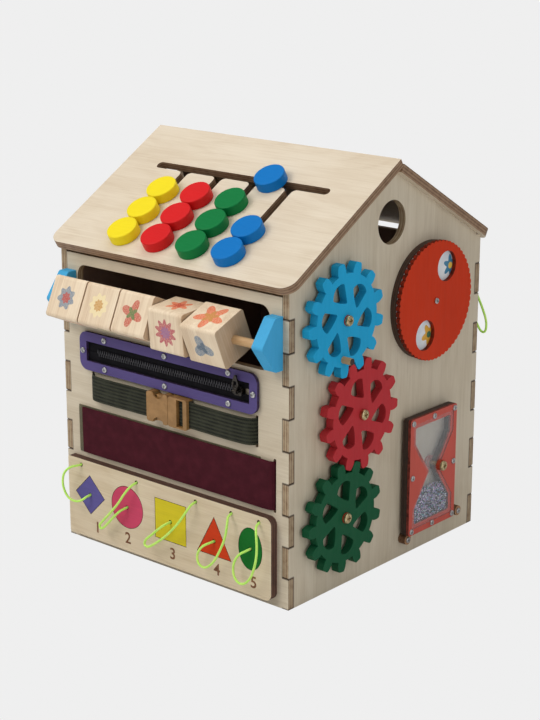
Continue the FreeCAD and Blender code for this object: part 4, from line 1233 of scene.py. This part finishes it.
@dataclass
class Cords:
    """All the lime cords.

    Attributes:
        material: The cords' material.
    """

    material: bpy.types.Material

    def build(self) -> None:
        """Make the five lacing cords and the lace on the back wall."""
        wall = FRONT_FACE / MM
        cords = (
            LacingCord("cord_diamond", "insert_diamond_body", millimetres(
                (-115.6, wall, 80.5), (-115.6, -155.0, 80.5), (-121.0, -161.5, 80.0),
                (-128.5, -164.0, 72.0), (-129.5, -164.5, 59.0), (-124.0, -163.0, 47.0),
                (-115.0, -160.5, 44.5), (-107.0, -159.5, 48.0), (-104.2, -155.5, 51.8),
                (-104.2, wall, 51.8)), 0.0912),
            LacingCord("cord_circle", "insert_circle_body", millimetres(
                (-39.9, wall, 80.5), (-39.9, -155.5, 80.5), (-46.5, -160.0, 71.5), (-55.5, -161.5, 57.5),
                (-68.0, -161.5, 44.0), (-77.5, -161.0, 34.5), (-83.5, -160.5, 28.5), (-81.5, -160.0, 24.5),
                (-76.0, -160.0, 28.5), (-67.0, -160.0, 38.0), (-57.0, -159.5, 48.5),
                (-53.1, -155.5, 51.8), (-53.1, wall, 51.8)), 0.1284),
            LacingCord("cord_square", "insert_square_body", millimetres(
                (37.0, wall, 80.5), (37.0, -155.5, 80.5), (34.0, -160.0, 73.5), (26.0, -161.5, 61.0),
                (17.5, -161.5, 51.5), (5.0, -161.5, 39.0), (-9.0, -161.0, 28.5), (-17.5, -160.5, 23.0),
                (-23.0, -160.0, 24.5), (-20.5, -160.0, 30.5), (-13.5, -160.0, 36.0), (-6.0, -160.0, 43.0),
                (1.0, -159.5, 49.0), (4.3, -155.5, 51.8), (4.3, wall, 51.8)), 0.1453),
            LacingCord("cord_triangle", "insert_triangle_body", millimetres(
                (81.0, wall, 80.5), (81.0, -155.5, 80.5), (84.5, -160.5, 74.5), (83.5, -162.0, 61.0),
                (76.5, -162.0, 45.5), (67.5, -161.5, 31.0), (57.0, -161.0, 22.5), (48.0, -160.5, 24.0),
                (45.5, -160.0, 32.5), (51.0, -159.5, 42.5), (59.7, -155.5, 47.36), (59.7, wall, 47.36)),
                0.1295),
            LacingCord("cord_oval", "insert_oval_body", millimetres(
                (114.3, wall, 80.5), (114.3, -155.5, 80.5), (119.5, -161.0, 72.5), (122.0, -162.5, 59.0),
                (119.5, -162.5, 43.0), (113.0, -162.0, 27.5), (102.5, -161.5, 19.0), (93.0, -161.0, 22.5),
                (90.5, -160.5, 34.5), (95.5, -159.5, 46.0), (104.1, -155.5, 51.8), (104.1, wall, 51.8)),
                0.1363),
            LacingCord("cord_back", None, millimetres(
                (107.0, 136.5, 251.0), (107.0, 147.0, 251.0), (110.5, 151.5, 247.0), (116.5, 153.5, 236.0),
                (124.0, 154.5, 222.0), (132.0, 155.0, 208.0), (139.0, 155.0, 196.5), (145.0, 155.0, 197.5),
                (145.5, 155.0, 209.0), (139.5, 155.0, 222.5), (132.5, 154.5, 236.0), (127.5, 151.5, 247.0),
                (124.0, 147.0, 251.0), (124.0, 136.5, 251.0)), 0.1561),
        )
        for cord in cords:
            cord.build(self.material)


def seen_directly(graph: Graph) -> bpy.types.NodeSocket:
    """Return 1 on rays from the camera, also through clear panes, and 0 on all others."""
    path = graph.add("ShaderNodeLightPath")
    return graph.math("MAXIMUM", path.outputs["Is Camera Ray"], path.outputs["Is Transmission Ray"])


@dataclass
class Studio:
    """The camera, the lights and the plain ground of the photograph.

    Attributes:
        place: The camera's place.
        azimuth: Its direction round the house, in degrees.
        elevation: How steeply it looks down, in degrees.
        lens: Its focal length, in millimetres.
        sensor: Width of its sensor, in millimetres.
        ambient: Brightness of the world on everything that the camera doesn't see directly.
        aim: The point that the lamps are aimed at.
        floor_reach: Half the side of the floor.
        floor_drop: How far the floor lies under the house.
    """

    place: Point = (1.07549, -1.24753, 0.66409)
    azimuth: float = 40.853
    elevation: float = 16.527
    lens: float = 87.547
    sensor: float = 36.0
    ambient: float = 0.30
    aim: Point = (0.0, 0.0, 0.18)
    floor_reach: float = 6.0
    floor_drop: float = 0.0005

    def build(self) -> None:
        """Set up the camera, the lamps, the world and the floor."""
        self.camera()
        # Name, place, size, power and colour
        lamps = (
            ("key", (-0.75, -1.55, 1.75), 1.3, 29.0, (1.0, 0.985, 0.96)),
            ("fill", (1.9, -0.55, 0.95), 1.5, 9.0, (0.96, 0.98, 1.0)),
            ("top", (0.0, 0.1, 2.1), 1.6, 13.0, (1.0, 1.0, 1.0)),
        )
        for name, place, size, power, colour in lamps:
            self.lamp(name, place, size, power, colour)
        self.world()
        self.floor()

    def camera(self) -> None:
        """Place the camera of the photograph."""
        data = bpy.data.cameras.new("Camera")
        data.lens = self.lens
        data.sensor_width = self.sensor
        camera = bpy.data.objects.new("Camera", data)
        bpy.context.scene.collection.objects.link(camera)
        azimuth = math.radians(self.azimuth)
        elevation = math.radians(self.elevation)
        back = Vector((math.sin(azimuth) * math.cos(elevation), -math.cos(azimuth) * math.cos(elevation),
                       math.sin(elevation)))
        camera.location = self.place
        camera.rotation_euler = back.to_track_quat("Z", "Y").to_euler()
        bpy.context.scene.camera = camera
        LOG.info("camera placed")

    def lamp(self, name: str, place: Point, size: float, power: float, colour: Colour) -> None:
        """Add a square area lamp aimed at the middle of the house.

        Args:
            name: The lamp's name.
            place: Where it stands.
            size: Its side.
            power: Its power, in watts.
            colour: Its colour.
        """
        data = bpy.data.lights.new(name, "AREA")
        data.size = size
        data.energy = power
        data.color = colour
        lamp = bpy.data.objects.new(name, data)
        bpy.context.scene.collection.objects.link(lamp)
        lamp.location = place
        aim = Vector(self.aim) - Vector(place)
        lamp.rotation_euler = aim.to_track_quat("-Z", "Y").to_euler()
        LOG.info("lamp %s", name)

    def world(self) -> None:
        """Give the world a pale grey that the camera sees flat."""
        world = bpy.data.worlds.new("World")
        bpy.context.scene.world = world
        world.use_nodes = True
        world.node_tree.nodes.clear()
        graph = Graph(world.node_tree)
        strength = graph.plus(graph.times(seen_directly(graph), BACKGROUND - self.ambient), self.ambient)
        light = graph.add("ShaderNodeBackground", {"Color": (1.0, 1.0, 1.0), "Strength": strength})
        output = graph.add("ShaderNodeOutputWorld")
        graph.feed(output.inputs["Surface"], light.outputs[0])
        bpy.context.scene.view_settings.view_transform = "Standard"

    def floor(self) -> None:
        """Lay a floor that bounces light and that the camera sees as the plain ground."""
        material = bpy.data.materials.new("Floor")
        material.use_nodes = True
        material.node_tree.nodes.clear()
        graph = Graph(material.node_tree)
        seen = seen_directly(graph)
        matte = graph.add("ShaderNodeBsdfDiffuse", {"Color": (0.82, 0.82, 0.82)})
        glow = graph.add("ShaderNodeEmission", {"Color": (1.0, 1.0, 1.0), "Strength": BACKGROUND})
        mixed = graph.add("ShaderNodeMixShader", {0: seen, 1: matte.outputs[0], 2: glow.outputs[0]})
        output = graph.add("ShaderNodeOutputMaterial")
        graph.feed(output.inputs["Surface"], mixed.outputs[0])
        corners = [(x * self.floor_reach, y * self.floor_reach, -self.floor_drop)
                   for x, y in ((-1, -1), (1, -1), (1, 1), (-1, 1))]
        floor = mesh_object("floor", corners, [(0, 1, 2, 3)], material)
        LOG.info("floor laid")


@dataclass
class House:
    """The walls, the floor, the roof and the battens: sanded plywood with browned edges."""

    def build(self) -> None:
        """Give every plate its plywood."""
        light = srgb(212, 200, 178)
        dark = srgb(176, 158, 130)
        walls = (
            ("front_wall", Y_AXIS, Grain.ALONG_X, (HALF_WIDTH, 1.0)),
            ("back_wall", Y_AXIS, Grain.ALONG_X, (HALF_WIDTH, 1.0)),
            ("left_wall", X_AXIS, Grain.ALONG_Z, (HALF_DEPTH, 0.0)),
            ("right_wall", X_AXIS, Grain.ALONG_Z, (HALF_DEPTH, 0.0)),
            ("floor_panel", Z_AXIS, Grain.ALONG_X, None),
        )
        for node, axis, grain, corner in walls:
            finish = Plywood("Birch " + node, light, dark, axis, grain, edge_light=srgb(175, 155, 125),
                             edge_dark=srgb(120, 90, 62), corner=corner)
            put_material(node, finish.build())
        roof_light = srgb(222, 209, 188)
        roof_dark = srgb(190, 168, 138)
        for node, slope in (("roof_front", ROOF_PITCH), ("roof_back", -ROOF_PITCH)):
            finish = Plywood("Birch " + node, roof_light, roof_dark, Z_AXIS, Grain.ALONG_X,
                             edge_light=srgb(156, 126, 98), edge_dark=srgb(108, 78, 54), slope=slope)
            put_material(node, finish.build())
        pine = SolidWood("Pine battens", srgb(205, 178, 136), srgb(160, 124, 84), Grain.ALONG_Y)
        put_material("roof_battens", pine.build())


@dataclass
class Sliders:
    """The twelve knobs on the roof."""

    def build(self) -> None:
        """Paint the knobs of each colour."""
        colours = {"yellow": srgb(240, 218, 30), "red": srgb(212, 26, 28), "green": srgb(0, 118, 58),
                   "blue": srgb(0, 114, 190)}
        for name, colour in colours.items():
            paint = Paint("Knob " + name, colour, gloss=0.45, grain=Grain.ALONG_X, grain_show=0.18).build()
            for number in (1, 2, 3):
                put_material(f"slider_{name}_{number}", paint)


@dataclass
class CubeBar:
    """The five printed cubes, their bar and its two end blocks.

    Attributes:
        first_middle: Place of the first cube's middle along the bar.
        pitch: Distance from one cube's middle to the next.
        tilts: How far each cube is turned on the bar, in degrees.
    """

    first_middle: float = -0.0990
    pitch: float = 0.04325
    tilts: tuple[float, ...] = (-24.0, -24.0, -24.0, 5.0, 22.5)

    def build(self) -> None:
        """Print the cubes and paint the blocks."""
        ochre, brick = srgb(196, 140, 62), srgb(190, 62, 40)
        slate, crimson = srgb(104, 128, 150), srgb(178, 40, 74)
        orange, leaf = srgb(222, 92, 34), srgb(66, 128, 66)
        mauve, cream = srgb(150, 110, 150), srgb(238, 220, 170)
        # For each cube its front, top, back and underside: petals, radius, depth, outer and inner colour
        faces = (
            ((7.0, 0.0098, 0.16, slate, brick), (5.0, 0.009, 0.3, leaf, ochre),
             (6.0, 0.009, 0.25, orange, cream), (4.0, 0.009, 0.3, brick, cream)),
            ((9.0, 0.0105, 0.12, cream, ochre), (4.0, 0.0095, 0.25, orange, cream),
             (5.0, 0.009, 0.3, mauve, cream), (8.0, 0.009, 0.15, leaf, cream)),
            ((4.0, 0.0098, 0.38, brick, leaf), (8.0, 0.009, 0.2, brick, ochre),
             (5.0, 0.009, 0.3, slate, cream), (6.0, 0.009, 0.2, ochre, brick)),
            ((10.0, 0.0108, 0.2, crimson, mauve), (6.0, 0.0095, 0.3, orange, brick),
             (5.0, 0.009, 0.3, leaf, cream), (7.0, 0.009, 0.2, slate, cream)),
            ((3.0, 0.0095, 0.35, slate, srgb(70, 92, 112)), (5.0, 0.0125, 0.36, orange, ochre),
             (6.0, 0.009, 0.3, brick, cream), (8.0, 0.009, 0.2, crimson, cream)),
        )
        for index, (tilt, prints) in enumerate(zip(self.tilts, faces)):
            middle = self.first_middle + self.pitch * index
            finish = CubeFinish(f"Printed cube {index + 1}", middle, tilt, prints)
            put_material(f"cube_{index + 1}", finish.build())
        beech = SolidWood("Beech rod", BEECH_LIGHT, BEECH_DARK, Grain.ALONG_X)
        put_material("cube_dowel", beech.build())
        put_material("cube_brackets", Paint("Light blue blocks", srgb(72, 172, 222), gloss=0.3,
                                            grain=Grain.ALONG_Z, grain_show=0.3).build())


@dataclass
class GearTrain:
    """The three gears, their peg, screws and washers.

    Attributes:
        peg_char: X beyond which the peg's end is darkened.
    """

    peg_char: float = 0.1641

    def build(self) -> None:
        """Paint the gears and plate the screws."""
        paints = {"gear_blue": srgb(32, 166, 216), "gear_red": srgb(188, 50, 56),
                  "gear_green": srgb(18, 86, 54)}
        for node, colour in paints.items():
            # Painted shade: the gears' cut sides and tooth flanks take their paint darkened to 0.8
            edge = tuple(value * 0.8 for value in colour)
            put_material(node, Paint("Paint " + node, colour, X_AXIS, edge, 0.3,
                                     grain_show=0.3).build())
        peg = SolidWood("Beech peg", BEECH_LIGHT, BEECH_DARK, Grain.ALONG_X, self.peg_char)
        put_material("gear_peg", peg.build())
        put_material("axle_screws", Metal("Brass screws", srgb(204, 186, 144), srgb(140, 122, 84)).build())
        put_material("axle_spacers", Paint("Stained washers", srgb(176, 66, 44), gloss=0.2).build())


@dataclass
class Spinner:
    """The serrated wheel over its printed disc."""

    def build(self) -> None:
        """Paint the wheel, print the disc and char the backing."""
        put_material("spinner_wheel", Paint("Wheel paint", srgb(204, 56, 22), X_AXIS,
                                            srgb(70, 30, 20), 0.25, grain_show=0.3).build())
        put_material("spinner_picture", picture_material())
        put_material("spinner_backing", Plywood("Charred backing", srgb(96, 66, 44), srgb(60, 38, 26),
                                                X_AXIS, Grain.ALONG_Z,
                                                edge_light=srgb(74, 46, 30),
                                                edge_dark=srgb(30, 18, 12)).build())


@dataclass
class Hourglass:
    """The turning frame, its panes and the beads in its lower bulb.

    Attributes:
        middle_y: Place of the neck along Y.
        middle_z: Height of the neck.
        half_width: Half the bulb's width at its end.
        half_height: Height of a bulb, from the neck to its end.
        straight: Length of the bulb's straight sides.
        neck: Half the width of the neck.
        back: X of the space behind the front pane.
        depth: Depth of that space.
        pane_gap: How far the beads keep from the panes.
        fill_height: Height of the heap.
        fill_bias: Power that packs the beads more closely at the bottom.
        heap_spread: Unevenness of the heap's top.
        bead_radius: Radius of a bead.
        beads: Number of beads.
    """

    middle_y: float = 0.0573
    middle_z: float = 0.0823
    half_width: float = 0.0282
    half_height: float = 0.0488
    straight: float = 0.016
    neck: float = 0.0054
    back: float = 0.14585
    depth: float = 0.009
    pane_gap: float = 0.0008
    fill_height: float = 0.0305
    fill_bias: float = 1.15
    heap_spread: float = 0.0012
    bead_radius: float = 0.00085
    beads: int = 2600

    def build(self) -> None:
        """Finish the frame and fill the lower bulb."""
        dark = Plywood("Charred plies", srgb(120, 84, 58), srgb(80, 52, 36), X_AXIS, Grain.ALONG_Z,
                       edge_light=srgb(58, 34, 24), edge_dark=srgb(24, 14, 10))
        put_material("hourglass_frame", dark.build())
        put_material("hourglass_front", Paint("Coral plate", srgb(202, 92, 80), X_AXIS,
                                              srgb(70, 32, 24), 0.25, grain_show=0.35).build())
        put_material("hourglass_panes", clear_pane_material())
        put_material("hourglass_screws", Metal("Small plated screws", srgb(200, 200, 200),
                                               srgb(126, 124, 120), 0.2).build())
        put_material("hourglass_stops", Paint("Stained stops", srgb(172, 132, 98), X_AXIS,
                                              srgb(66, 40, 28), 0.2).build())
        self.fill()

    def width_at(self, height: float) -> float:
        """Return half the bulb's width at a height above or below the neck."""
        shoulder = self.half_height - self.straight
        share = min(abs(height) / shoulder, 1.0)
        return self.neck + (self.half_width - self.neck) * share

    def fill(self) -> None:
        """Scatter beads through the lower bulb and make them real mesh."""
        draw = random.Random(7)
        inset = self.bead_radius * 1.3
        points = []
        floor = -self.half_height + inset
        while len(points) < self.beads:
            height = floor + draw.random() ** self.fill_bias * self.fill_height
            heap = floor + self.fill_height - abs(draw.gauss(0.0, self.heap_spread))
            if height > heap:
                continue
            half = self.width_at(height) - inset
            y = draw.uniform(-half, half)
            x = draw.uniform(self.pane_gap + inset, self.depth - self.pane_gap - inset)
            points.append((self.back + x, self.middle_y + y, self.middle_z + height))
        material = bead_material()
        cloud = mesh_object("hourglass_bead_fill", points, [], material)
        tree = self.bead_tree(material)
        grow(cloud, tree, {"Radius": self.bead_radius, "Seed": 11})
        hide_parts("hourglass_beads")
        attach(cloud, Body.HOURGLASS.value)
        LOG.info("beads: %d faces", len(cloud.data.polygons))

    def bead_tree(self, material: bpy.types.Material) -> bpy.types.NodeTree:
        """Make the Geometry Nodes group that puts a small bead at every point.

        Args:
            material: The beads' material.

        Returns:
            The group.
        """
        graph, given, result = geometry_group("Beads", [("Radius", "Float"), ("Seed", "Int")])
        bead = graph.add("GeometryNodeMeshIcoSphere", {"Radius": given.outputs["Radius"],
                                                       "Subdivisions": 1})
        turn = graph.add("FunctionNodeRandomValue", {"Seed": given.outputs["Seed"]},
                         data_type="FLOAT_VECTOR")
        graph.feed(turn.inputs[RANDOM_VECTOR_LOW], (0.0, 0.0, 0.0))
        graph.feed(turn.inputs[RANDOM_VECTOR_HIGH], (math.tau, math.tau, math.tau))
        size = graph.add("FunctionNodeRandomValue", {"Seed": given.outputs["Seed"]}, data_type="FLOAT")
        graph.feed(size.inputs[RANDOM_FLOAT_LOW], 0.7)
        graph.feed(size.inputs[RANDOM_FLOAT_HIGH], 1.1)
        tone = graph.add("FunctionNodeRandomValue", {"Seed": given.outputs["Seed"]}, data_type="FLOAT")
        placed = graph.add("GeometryNodeInstanceOnPoints", {
            "Points": given.outputs["Geometry"], "Instance": bead.outputs["Mesh"],
            "Rotation": turn.outputs[RANDOM_VECTOR], "Scale": size.outputs[RANDOM_FLOAT]})
        stored = graph.add("GeometryNodeStoreNamedAttribute", {
            "Geometry": placed.outputs["Instances"], "Name": "tone", "Value": tone.outputs[RANDOM_FLOAT]},
            data_type="FLOAT", domain="INSTANCE")
        real = graph.add("GeometryNodeRealizeInstances", {"Geometry": stored.outputs["Geometry"]})
        painted = graph.add("GeometryNodeSetMaterial", {"Geometry": real.outputs["Geometry"],
                                                        "Material": material})
        graph.feed(result.inputs["Geometry"], painted.outputs["Geometry"])
        return graph.tree


@dataclass
class Zipper:
    """The zipper's frame, woven tapes, moulded teeth, slider and pull.

    Attributes:
        middle: Height of the line that the chain closes on.
        slider_x: Place of the slider.
        tape_left: Left end of the tapes.
        tape_right: Right end of the tapes.
        low: Lower edge of the lower tape.
        high: Upper edge of the upper tape.
        tape_face: How far a tape's face stands off the wall.
        tape_back: How far its back does.
        tape_columns: Divisions along a tape.
        tape_rows: Divisions across a tape.
        cord_rise: Height of the thickened cord at a tape's inner edge.
        closed_gap: Gap from the middle line to a closed tape.
        open_gap: How much further an open tape stands.
        parting_run: Length over which the tapes part.
        teeth_left: Place of the first tooth.
        tooth_pitch: Distance from one tooth to the next on the same tape.
        tooth_row: Distance of a row of teeth from the middle line.
        teeth_out: How far the foot of the teeth stands off the wall.
        tooth_lift: How far a tooth's middle is before its foot.
        tooth_shift: How far a tooth is moved away from the middle line.
        tooth_length: Length of a tooth across the chain.
        tooth_width: Its width along the chain.
        tooth_height: Its height off the tape.
        tooth_round: Rounding of its corners.
    """

    middle: float = 0.1968
    slider_x: float = 0.086
    tape_left: float = -0.1127
    tape_right: float = 0.1047
    low: float = 0.1821
    high: float = 0.2115
    tape_face: float = 0.0007
    tape_back: float = 0.00005
    tape_columns: int = 120
    tape_rows: int = 8
    cord_rise: float = 0.00025
    closed_gap: float = 0.00015
    open_gap: float = 0.0026
    parting_run: float = 0.008
    teeth_left: float = -0.0935
    tooth_pitch: float = 0.0030
    tooth_row: float = 0.0011
    teeth_out: float = 0.0008
    tooth_lift: float = 0.0007
    tooth_shift: float = 0.0003
    tooth_length: float = 0.0036
    tooth_width: float = 0.0013
    tooth_height: float = 0.0018
    tooth_round: float = 0.00028

    def build(self) -> None:
        """Finish the frame and slider, and make the tapes and teeth."""
        put_material("zipper_frame", Paint("Violet frame", srgb(92, 80, 134), Y_AXIS,
                                           srgb(46, 30, 34), 0.25, Grain.ALONG_X, 0.35).build())
        gunmetal = Metal("Zipper metal", srgb(74, 70, 66), srgb(38, 34, 31), 0.3).build()
        put_material("zipper_slider", gunmetal)
        put_material("zipper_pull", gunmetal)
        cloth = Cloth("Zipper tape", srgb(17, 16, 21), srgb(6, 6, 9), 0.0011, 0.0006, 0.00015, 0.0).build()
        for side in (-1.0, 1.0):
            self.tape(side, cloth)
            self.teeth(side)

    def parting(self, x: float) -> float:
        """Return how far a tape's inner edge is from the zipper's middle line."""
        share = min(max((x - self.slider_x) / self.parting_run + 0.5, 0.0), 1.0)
        return self.closed_gap + self.open_gap * share * share * (3.0 - 2.0 * share)

    def tape(self, side: float, cloth: bpy.types.Material) -> None:
        """Make one tape, flat on the wall, whose inner edge parts beyond the slider.

        Args:
            side: 1 for the upper tape and -1 for the lower.
            cloth: Its material.
        """
        columns = self.tape_columns
        rows = self.tape_rows
        outer = self.high if side > 0 else self.low
        points: list[Point] = []
        flat: list[tuple[float, float]] = []
        for column in range(columns + 1):
            x = self.tape_left + (self.tape_right - self.tape_left) * column / columns
            inner = self.middle + side * self.parting(x)
            for row in range(rows + 1):
                z = inner + (outer - inner) * row / rows
                cord = self.cord_rise * math.exp(-((row - 1.0) / 0.8) ** 2)
                for y in (FRONT_FACE - self.tape_face - cord, FRONT_FACE - self.tape_back):
                    points.append((x, y, z))
                    flat.append((x, z))
        name = "zipper_tape_upper" if side > 0 else "zipper_tape_lower"
        piece = mesh_object(name, points, self.tape_faces(), cloth)
        recalculate_outwards(piece)
        weave_map(piece, flat)
        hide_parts("zipper_tapes")
        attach(piece, Body.HOUSE.value)
        LOG.info("tape %s", name)

    def tape_faces(self) -> list[list[int]]:
        """Join a tape's corners, which come in pairs of face and back, row by row in each column.

        Returns:
            The faces, as numbers of corners.
        """
        stride = (self.tape_rows + 1) * 2
        faces: list[list[int]] = []
        for column in range(self.tape_columns):
            for row in range(self.tape_rows):
                near = column * stride + row * 2
                far = near + stride
                faces.append([near, near + 2, far + 2, far])
                faces.append([near + 1, far + 1, far + 3, near + 3])
            for row in (0, self.tape_rows):
                near = column * stride + row * 2
                far = near + stride
                faces.append([near, far, far + 1, near + 1])
        for column in (0, self.tape_columns):
            for row in range(self.tape_rows):
                near = column * stride + row * 2
                faces.append([near, near + 1, near + 3, near + 2])
        return faces

    def teeth(self, side: float) -> None:
        """Make one row of teeth that mesh with the other row.

        Args:
            side: 1 for the upper row and -1 for the lower.
        """
        offset = 0.0 if side > 0 else self.tooth_pitch / 2
        count = int((self.slider_x - self.teeth_left) / self.tooth_pitch)
        points = [(self.teeth_left + offset + self.tooth_pitch * index, FRONT_FACE - self.teeth_out,
                   self.middle + side * self.tooth_row) for index in range(count)]
        material = Plastic("Moulded teeth", srgb(34, 33, 40), 0.3).build()
        name = "zipper_teeth_upper" if side > 0 else "zipper_teeth_lower"
        row = mesh_object(name, points, [], material)
        graph, given, result = geometry_group("Teeth " + name, [("Length", "Float"), ("Width", "Float"),
                                                                ("Height", "Float")])
        size = graph.join(given.outputs["Width"], given.outputs["Height"], given.outputs["Length"])
        tooth = graph.add("GeometryNodeMeshCube", {"Size": size})
        shift = (0.0, -self.tooth_lift, side * self.tooth_shift)
        lifted = graph.add("GeometryNodeTransform", {"Geometry": tooth.outputs["Mesh"],
                                                     "Translation": shift})
        placed = graph.add("GeometryNodeInstanceOnPoints", {"Points": given.outputs["Geometry"],
                                                            "Instance": lifted.outputs["Geometry"]})
        real = graph.add("GeometryNodeRealizeInstances", {"Geometry": placed.outputs["Instances"]})
        painted = graph.add("GeometryNodeSetMaterial", {"Geometry": real.outputs["Geometry"],
                                                        "Material": material})
        graph.feed(result.inputs["Geometry"], painted.outputs["Geometry"])
        grow(row, graph.tree, {"Length": self.tooth_length, "Width": self.tooth_width,
                               "Height": self.tooth_height})
        self.round_teeth(row)
        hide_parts("zipper_tapes")
        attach(row, Body.HOUSE.value)
        LOG.info("teeth %s: %d faces", name, len(row.data.polygons))

    def round_teeth(self, row: bpy.types.Object) -> None:
        """Round the corners of a row of teeth."""
        bevel = row.modifiers.new("Bevel", "BEVEL")
        bevel.width = self.tooth_round
        bevel.segments = 2
        keep_result(row, bevel)
        for polygon in row.data.polygons:
            polygon.use_smooth = True


@dataclass
class StrapAndBuckle:
    """The webbing and the side-release buckle.

    Attributes:
        low: Lower edge of the webbing.
        high: Its upper edge.
        thickness: Its thickness.
        rows: Divisions over its height.
    """

    low: float = 0.1495
    high: float = 0.1745
    thickness: float = 0.0016
    rows: int = 14

    def build(self) -> None:
        """Make the two straps and finish the buckle."""
        cloth = Cloth("Webbing", srgb(54, 56, 43), srgb(12, 14, 10), 0.0034, 0.0016, 0.0009, 0.05,
                      lengthwise=True).build()
        left = Ribbon("strap_left_webbing", (
            (-0.1165, -0.1316), (-0.1060, -0.1316), (-0.1030, -0.1345), (-0.1030, -0.1410),
            (-0.1022, -0.1450), (-0.0985, -0.1490), (-0.0900, -0.1502), (-0.0700, -0.1506),
            (-0.0450, -0.1497), (-0.0140, -0.1492)), self.low, self.high, self.thickness, self.rows)
        right = Ribbon("strap_right_webbing", (
            (0.0167, -0.1492), (0.0450, -0.1496), (0.0720, -0.1506), (0.0920, -0.1502),
            (0.1008, -0.1490), (0.1046, -0.1450), (0.1055, -0.1410), (0.1055, -0.1345),
            (0.1085, -0.1316), (0.1190, -0.1316)), self.low, self.high, self.thickness, self.rows)
        piece, length = left.build(cloth)
        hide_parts("strap_left")
        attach(piece, Body.HOUSE.value)
        LOG.info("left strap %.3f m", length)
        piece, length = right.build(cloth)
        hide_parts("strap_right")
        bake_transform(piece)
        LOG.info("right strap %.3f m", length)
        tan = Plastic("Tan plastic", srgb(140, 103, 56)).build()
        put_material("buckle_socket", tan)
        put_material("buckle_plug", tan)


@dataclass
class PeelStrip:
    """The maroon strip that presses onto the olive one.

    Attributes:
        low: Lower edge of the maroon strip.
        high: Its upper edge.
        lip: How far the olive strip shows above and below it.
    """

    low: float = 0.0926
    high: float = 0.1386
    lip: float = 0.0008

    def build(self) -> None:
        """Make the base strip and the flap."""
        olive = Cloth("Olive hook strip", srgb(96, 88, 54), srgb(50, 44, 24), 0.0009, 0.0009, 0.0003,
                      0.4).build()
        maroon = Cloth("Maroon strip", srgb(76, 20, 33), srgb(44, 9, 18), 0.0011, 0.0012, 0.00025,
                       0.0).build()
        base = Ribbon("strip_base", ((-0.1233, -0.1442), (-0.0600, -0.1442), (0.0, -0.1442),
                                     (0.0600, -0.1442), (0.1098, -0.1442)),
                      self.low - self.lip, self.high + self.lip, 0.0013, 16)
        piece, length = base.build(olive)
        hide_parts("touch_base")
        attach(piece, Body.HOUSE.value)
        LOG.info("base strip %.3f m", length)
        flap = Ribbon("strip_flap", ((-0.1165, -0.1463), (-0.1120, -0.1463), (-0.0700, -0.1463),
                                     (-0.0100, -0.1463), (0.0500, -0.1463), (0.1000, -0.1463),
                                     (0.1200, -0.1463), (0.1250, -0.1455), (0.1265, -0.1430),
                                     (0.1265, -0.1380), (0.1265, -0.1316)), self.low, self.high, 0.0014, 20,
                      0.00018)
        piece, length = flap.build(maroon)
        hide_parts("touch_flap")
        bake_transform(piece)
        LOG.info("flap %.3f m", length)


@dataclass
class LacingPanel:
    """The lacing panel, its five painted shapes and its burnt numbers.

    Attributes:
        front: Y of the panel's face.
        height: Height of the numbers.
        type_size: Size of the type for that height, as a share of it.
        baseline: Height of the numbers' foot.
        boldness: How much the strokes are widened.
        relief: Half the thickness of the numbers' mesh.
        raised: How far the middle of that mesh is before the panel's face.
        places: Middle of each number along the panel.
    """

    front: float = FRONT_FACE - 0.008
    height: float = 0.0118
    type_size: float = 1.35
    baseline: float = 0.0150
    boldness: float = 0.00025
    relief: float = 0.00006
    raised: float = 0.00004
    places: tuple[float, ...] = (-0.095, -0.053, 0.0066, 0.063, 0.108)

    def build(self) -> None:
        """Paint the shapes and burn the numbers."""
        put_material("lacing_panel", Plywood("Lacing panel ply", srgb(220, 204, 176), srgb(184, 160, 124),
                                             Y_AXIS, Grain.ALONG_X, srgb(92, 58, 46),
                                             srgb(60, 38, 30)).build())
        colours = {"diamond": srgb(96, 88, 152), "circle": srgb(206, 72, 104), "square": srgb(216, 198, 40),
                   "triangle": srgb(208, 62, 22), "oval": srgb(16, 108, 36)}
        for name, colour in colours.items():
            put_material("insert_" + name, Paint("Shape " + name, colour, Y_AXIS, srgb(24, 14, 10),
                                                 0.25, Grain.ALONG_X, 0.35).build())
        burnt = Plastic("Burnt wood", srgb(112, 70, 42), 0.7).build()
        for number, x in enumerate(self.places, start=1):
            self.number(str(number), x, burnt)

    def number(self, text: str, x: float, material: bpy.types.Material) -> None:
        """Burn one number below its shape.

        Args:
            text: The number.
            x: Its middle along the panel.
            material: The burnt wood.
        """
        curve = bpy.data.curves.new("number_" + text, "FONT")
        curve.body = text
        curve.size = self.height * self.type_size
        curve.align_x = "CENTER"
        curve.extrude = self.relief
        curve.offset = self.boldness
        holder = bpy.data.objects.new("number_source", curve)
        holder.location = (x, self.front - self.raised, self.baseline)
        holder.rotation_euler = (math.pi / 2, 0.0, 0.0)
        bpy.context.scene.collection.objects.link(holder)
        bpy.context.view_layer.update()
        mesh = bpy.data.meshes.new_from_object(holder)
        mesh.transform(holder.matrix_world)
        bpy.data.objects.remove(holder)
        piece = bpy.data.objects.new("number_" + text, mesh)
        mesh.materials.clear()
        mesh.materials.append(material)
        bpy.context.scene.collection.objects.link(piece)
        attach(piece, Body.HOUSE.value)
        LOG.info("number %s", text)


@dataclass
class FixedScrews:
    """The small silver screws."""

    def build(self) -> None:
        """Plate the screws."""
        plated = Metal("Plated screws", srgb(196, 196, 196), srgb(112, 112, 112), 0.2)
        put_material("panel_screws", plated.build())


def main() -> None:
    """Build every sub-assembly in order and log it."""
    Studio().build()
    lime = Cloth("Lime cord", srgb(206, 255, 122), srgb(160, 226, 82), 0.0012, 0.0009, 0.0001, 0.2).build()
    Cords(lime).build()
    assemblies = (House(), Sliders(), CubeBar(), GearTrain(), Spinner(), Hourglass(), Zipper(),
                  StrapAndBuckle(), PeelStrip(), LacingPanel(), FixedScrews())
    for assembly in assemblies:
        assembly.build()
        LOG.info("built %s", type(assembly).__name__)


if __name__ == "__main__":
    main()
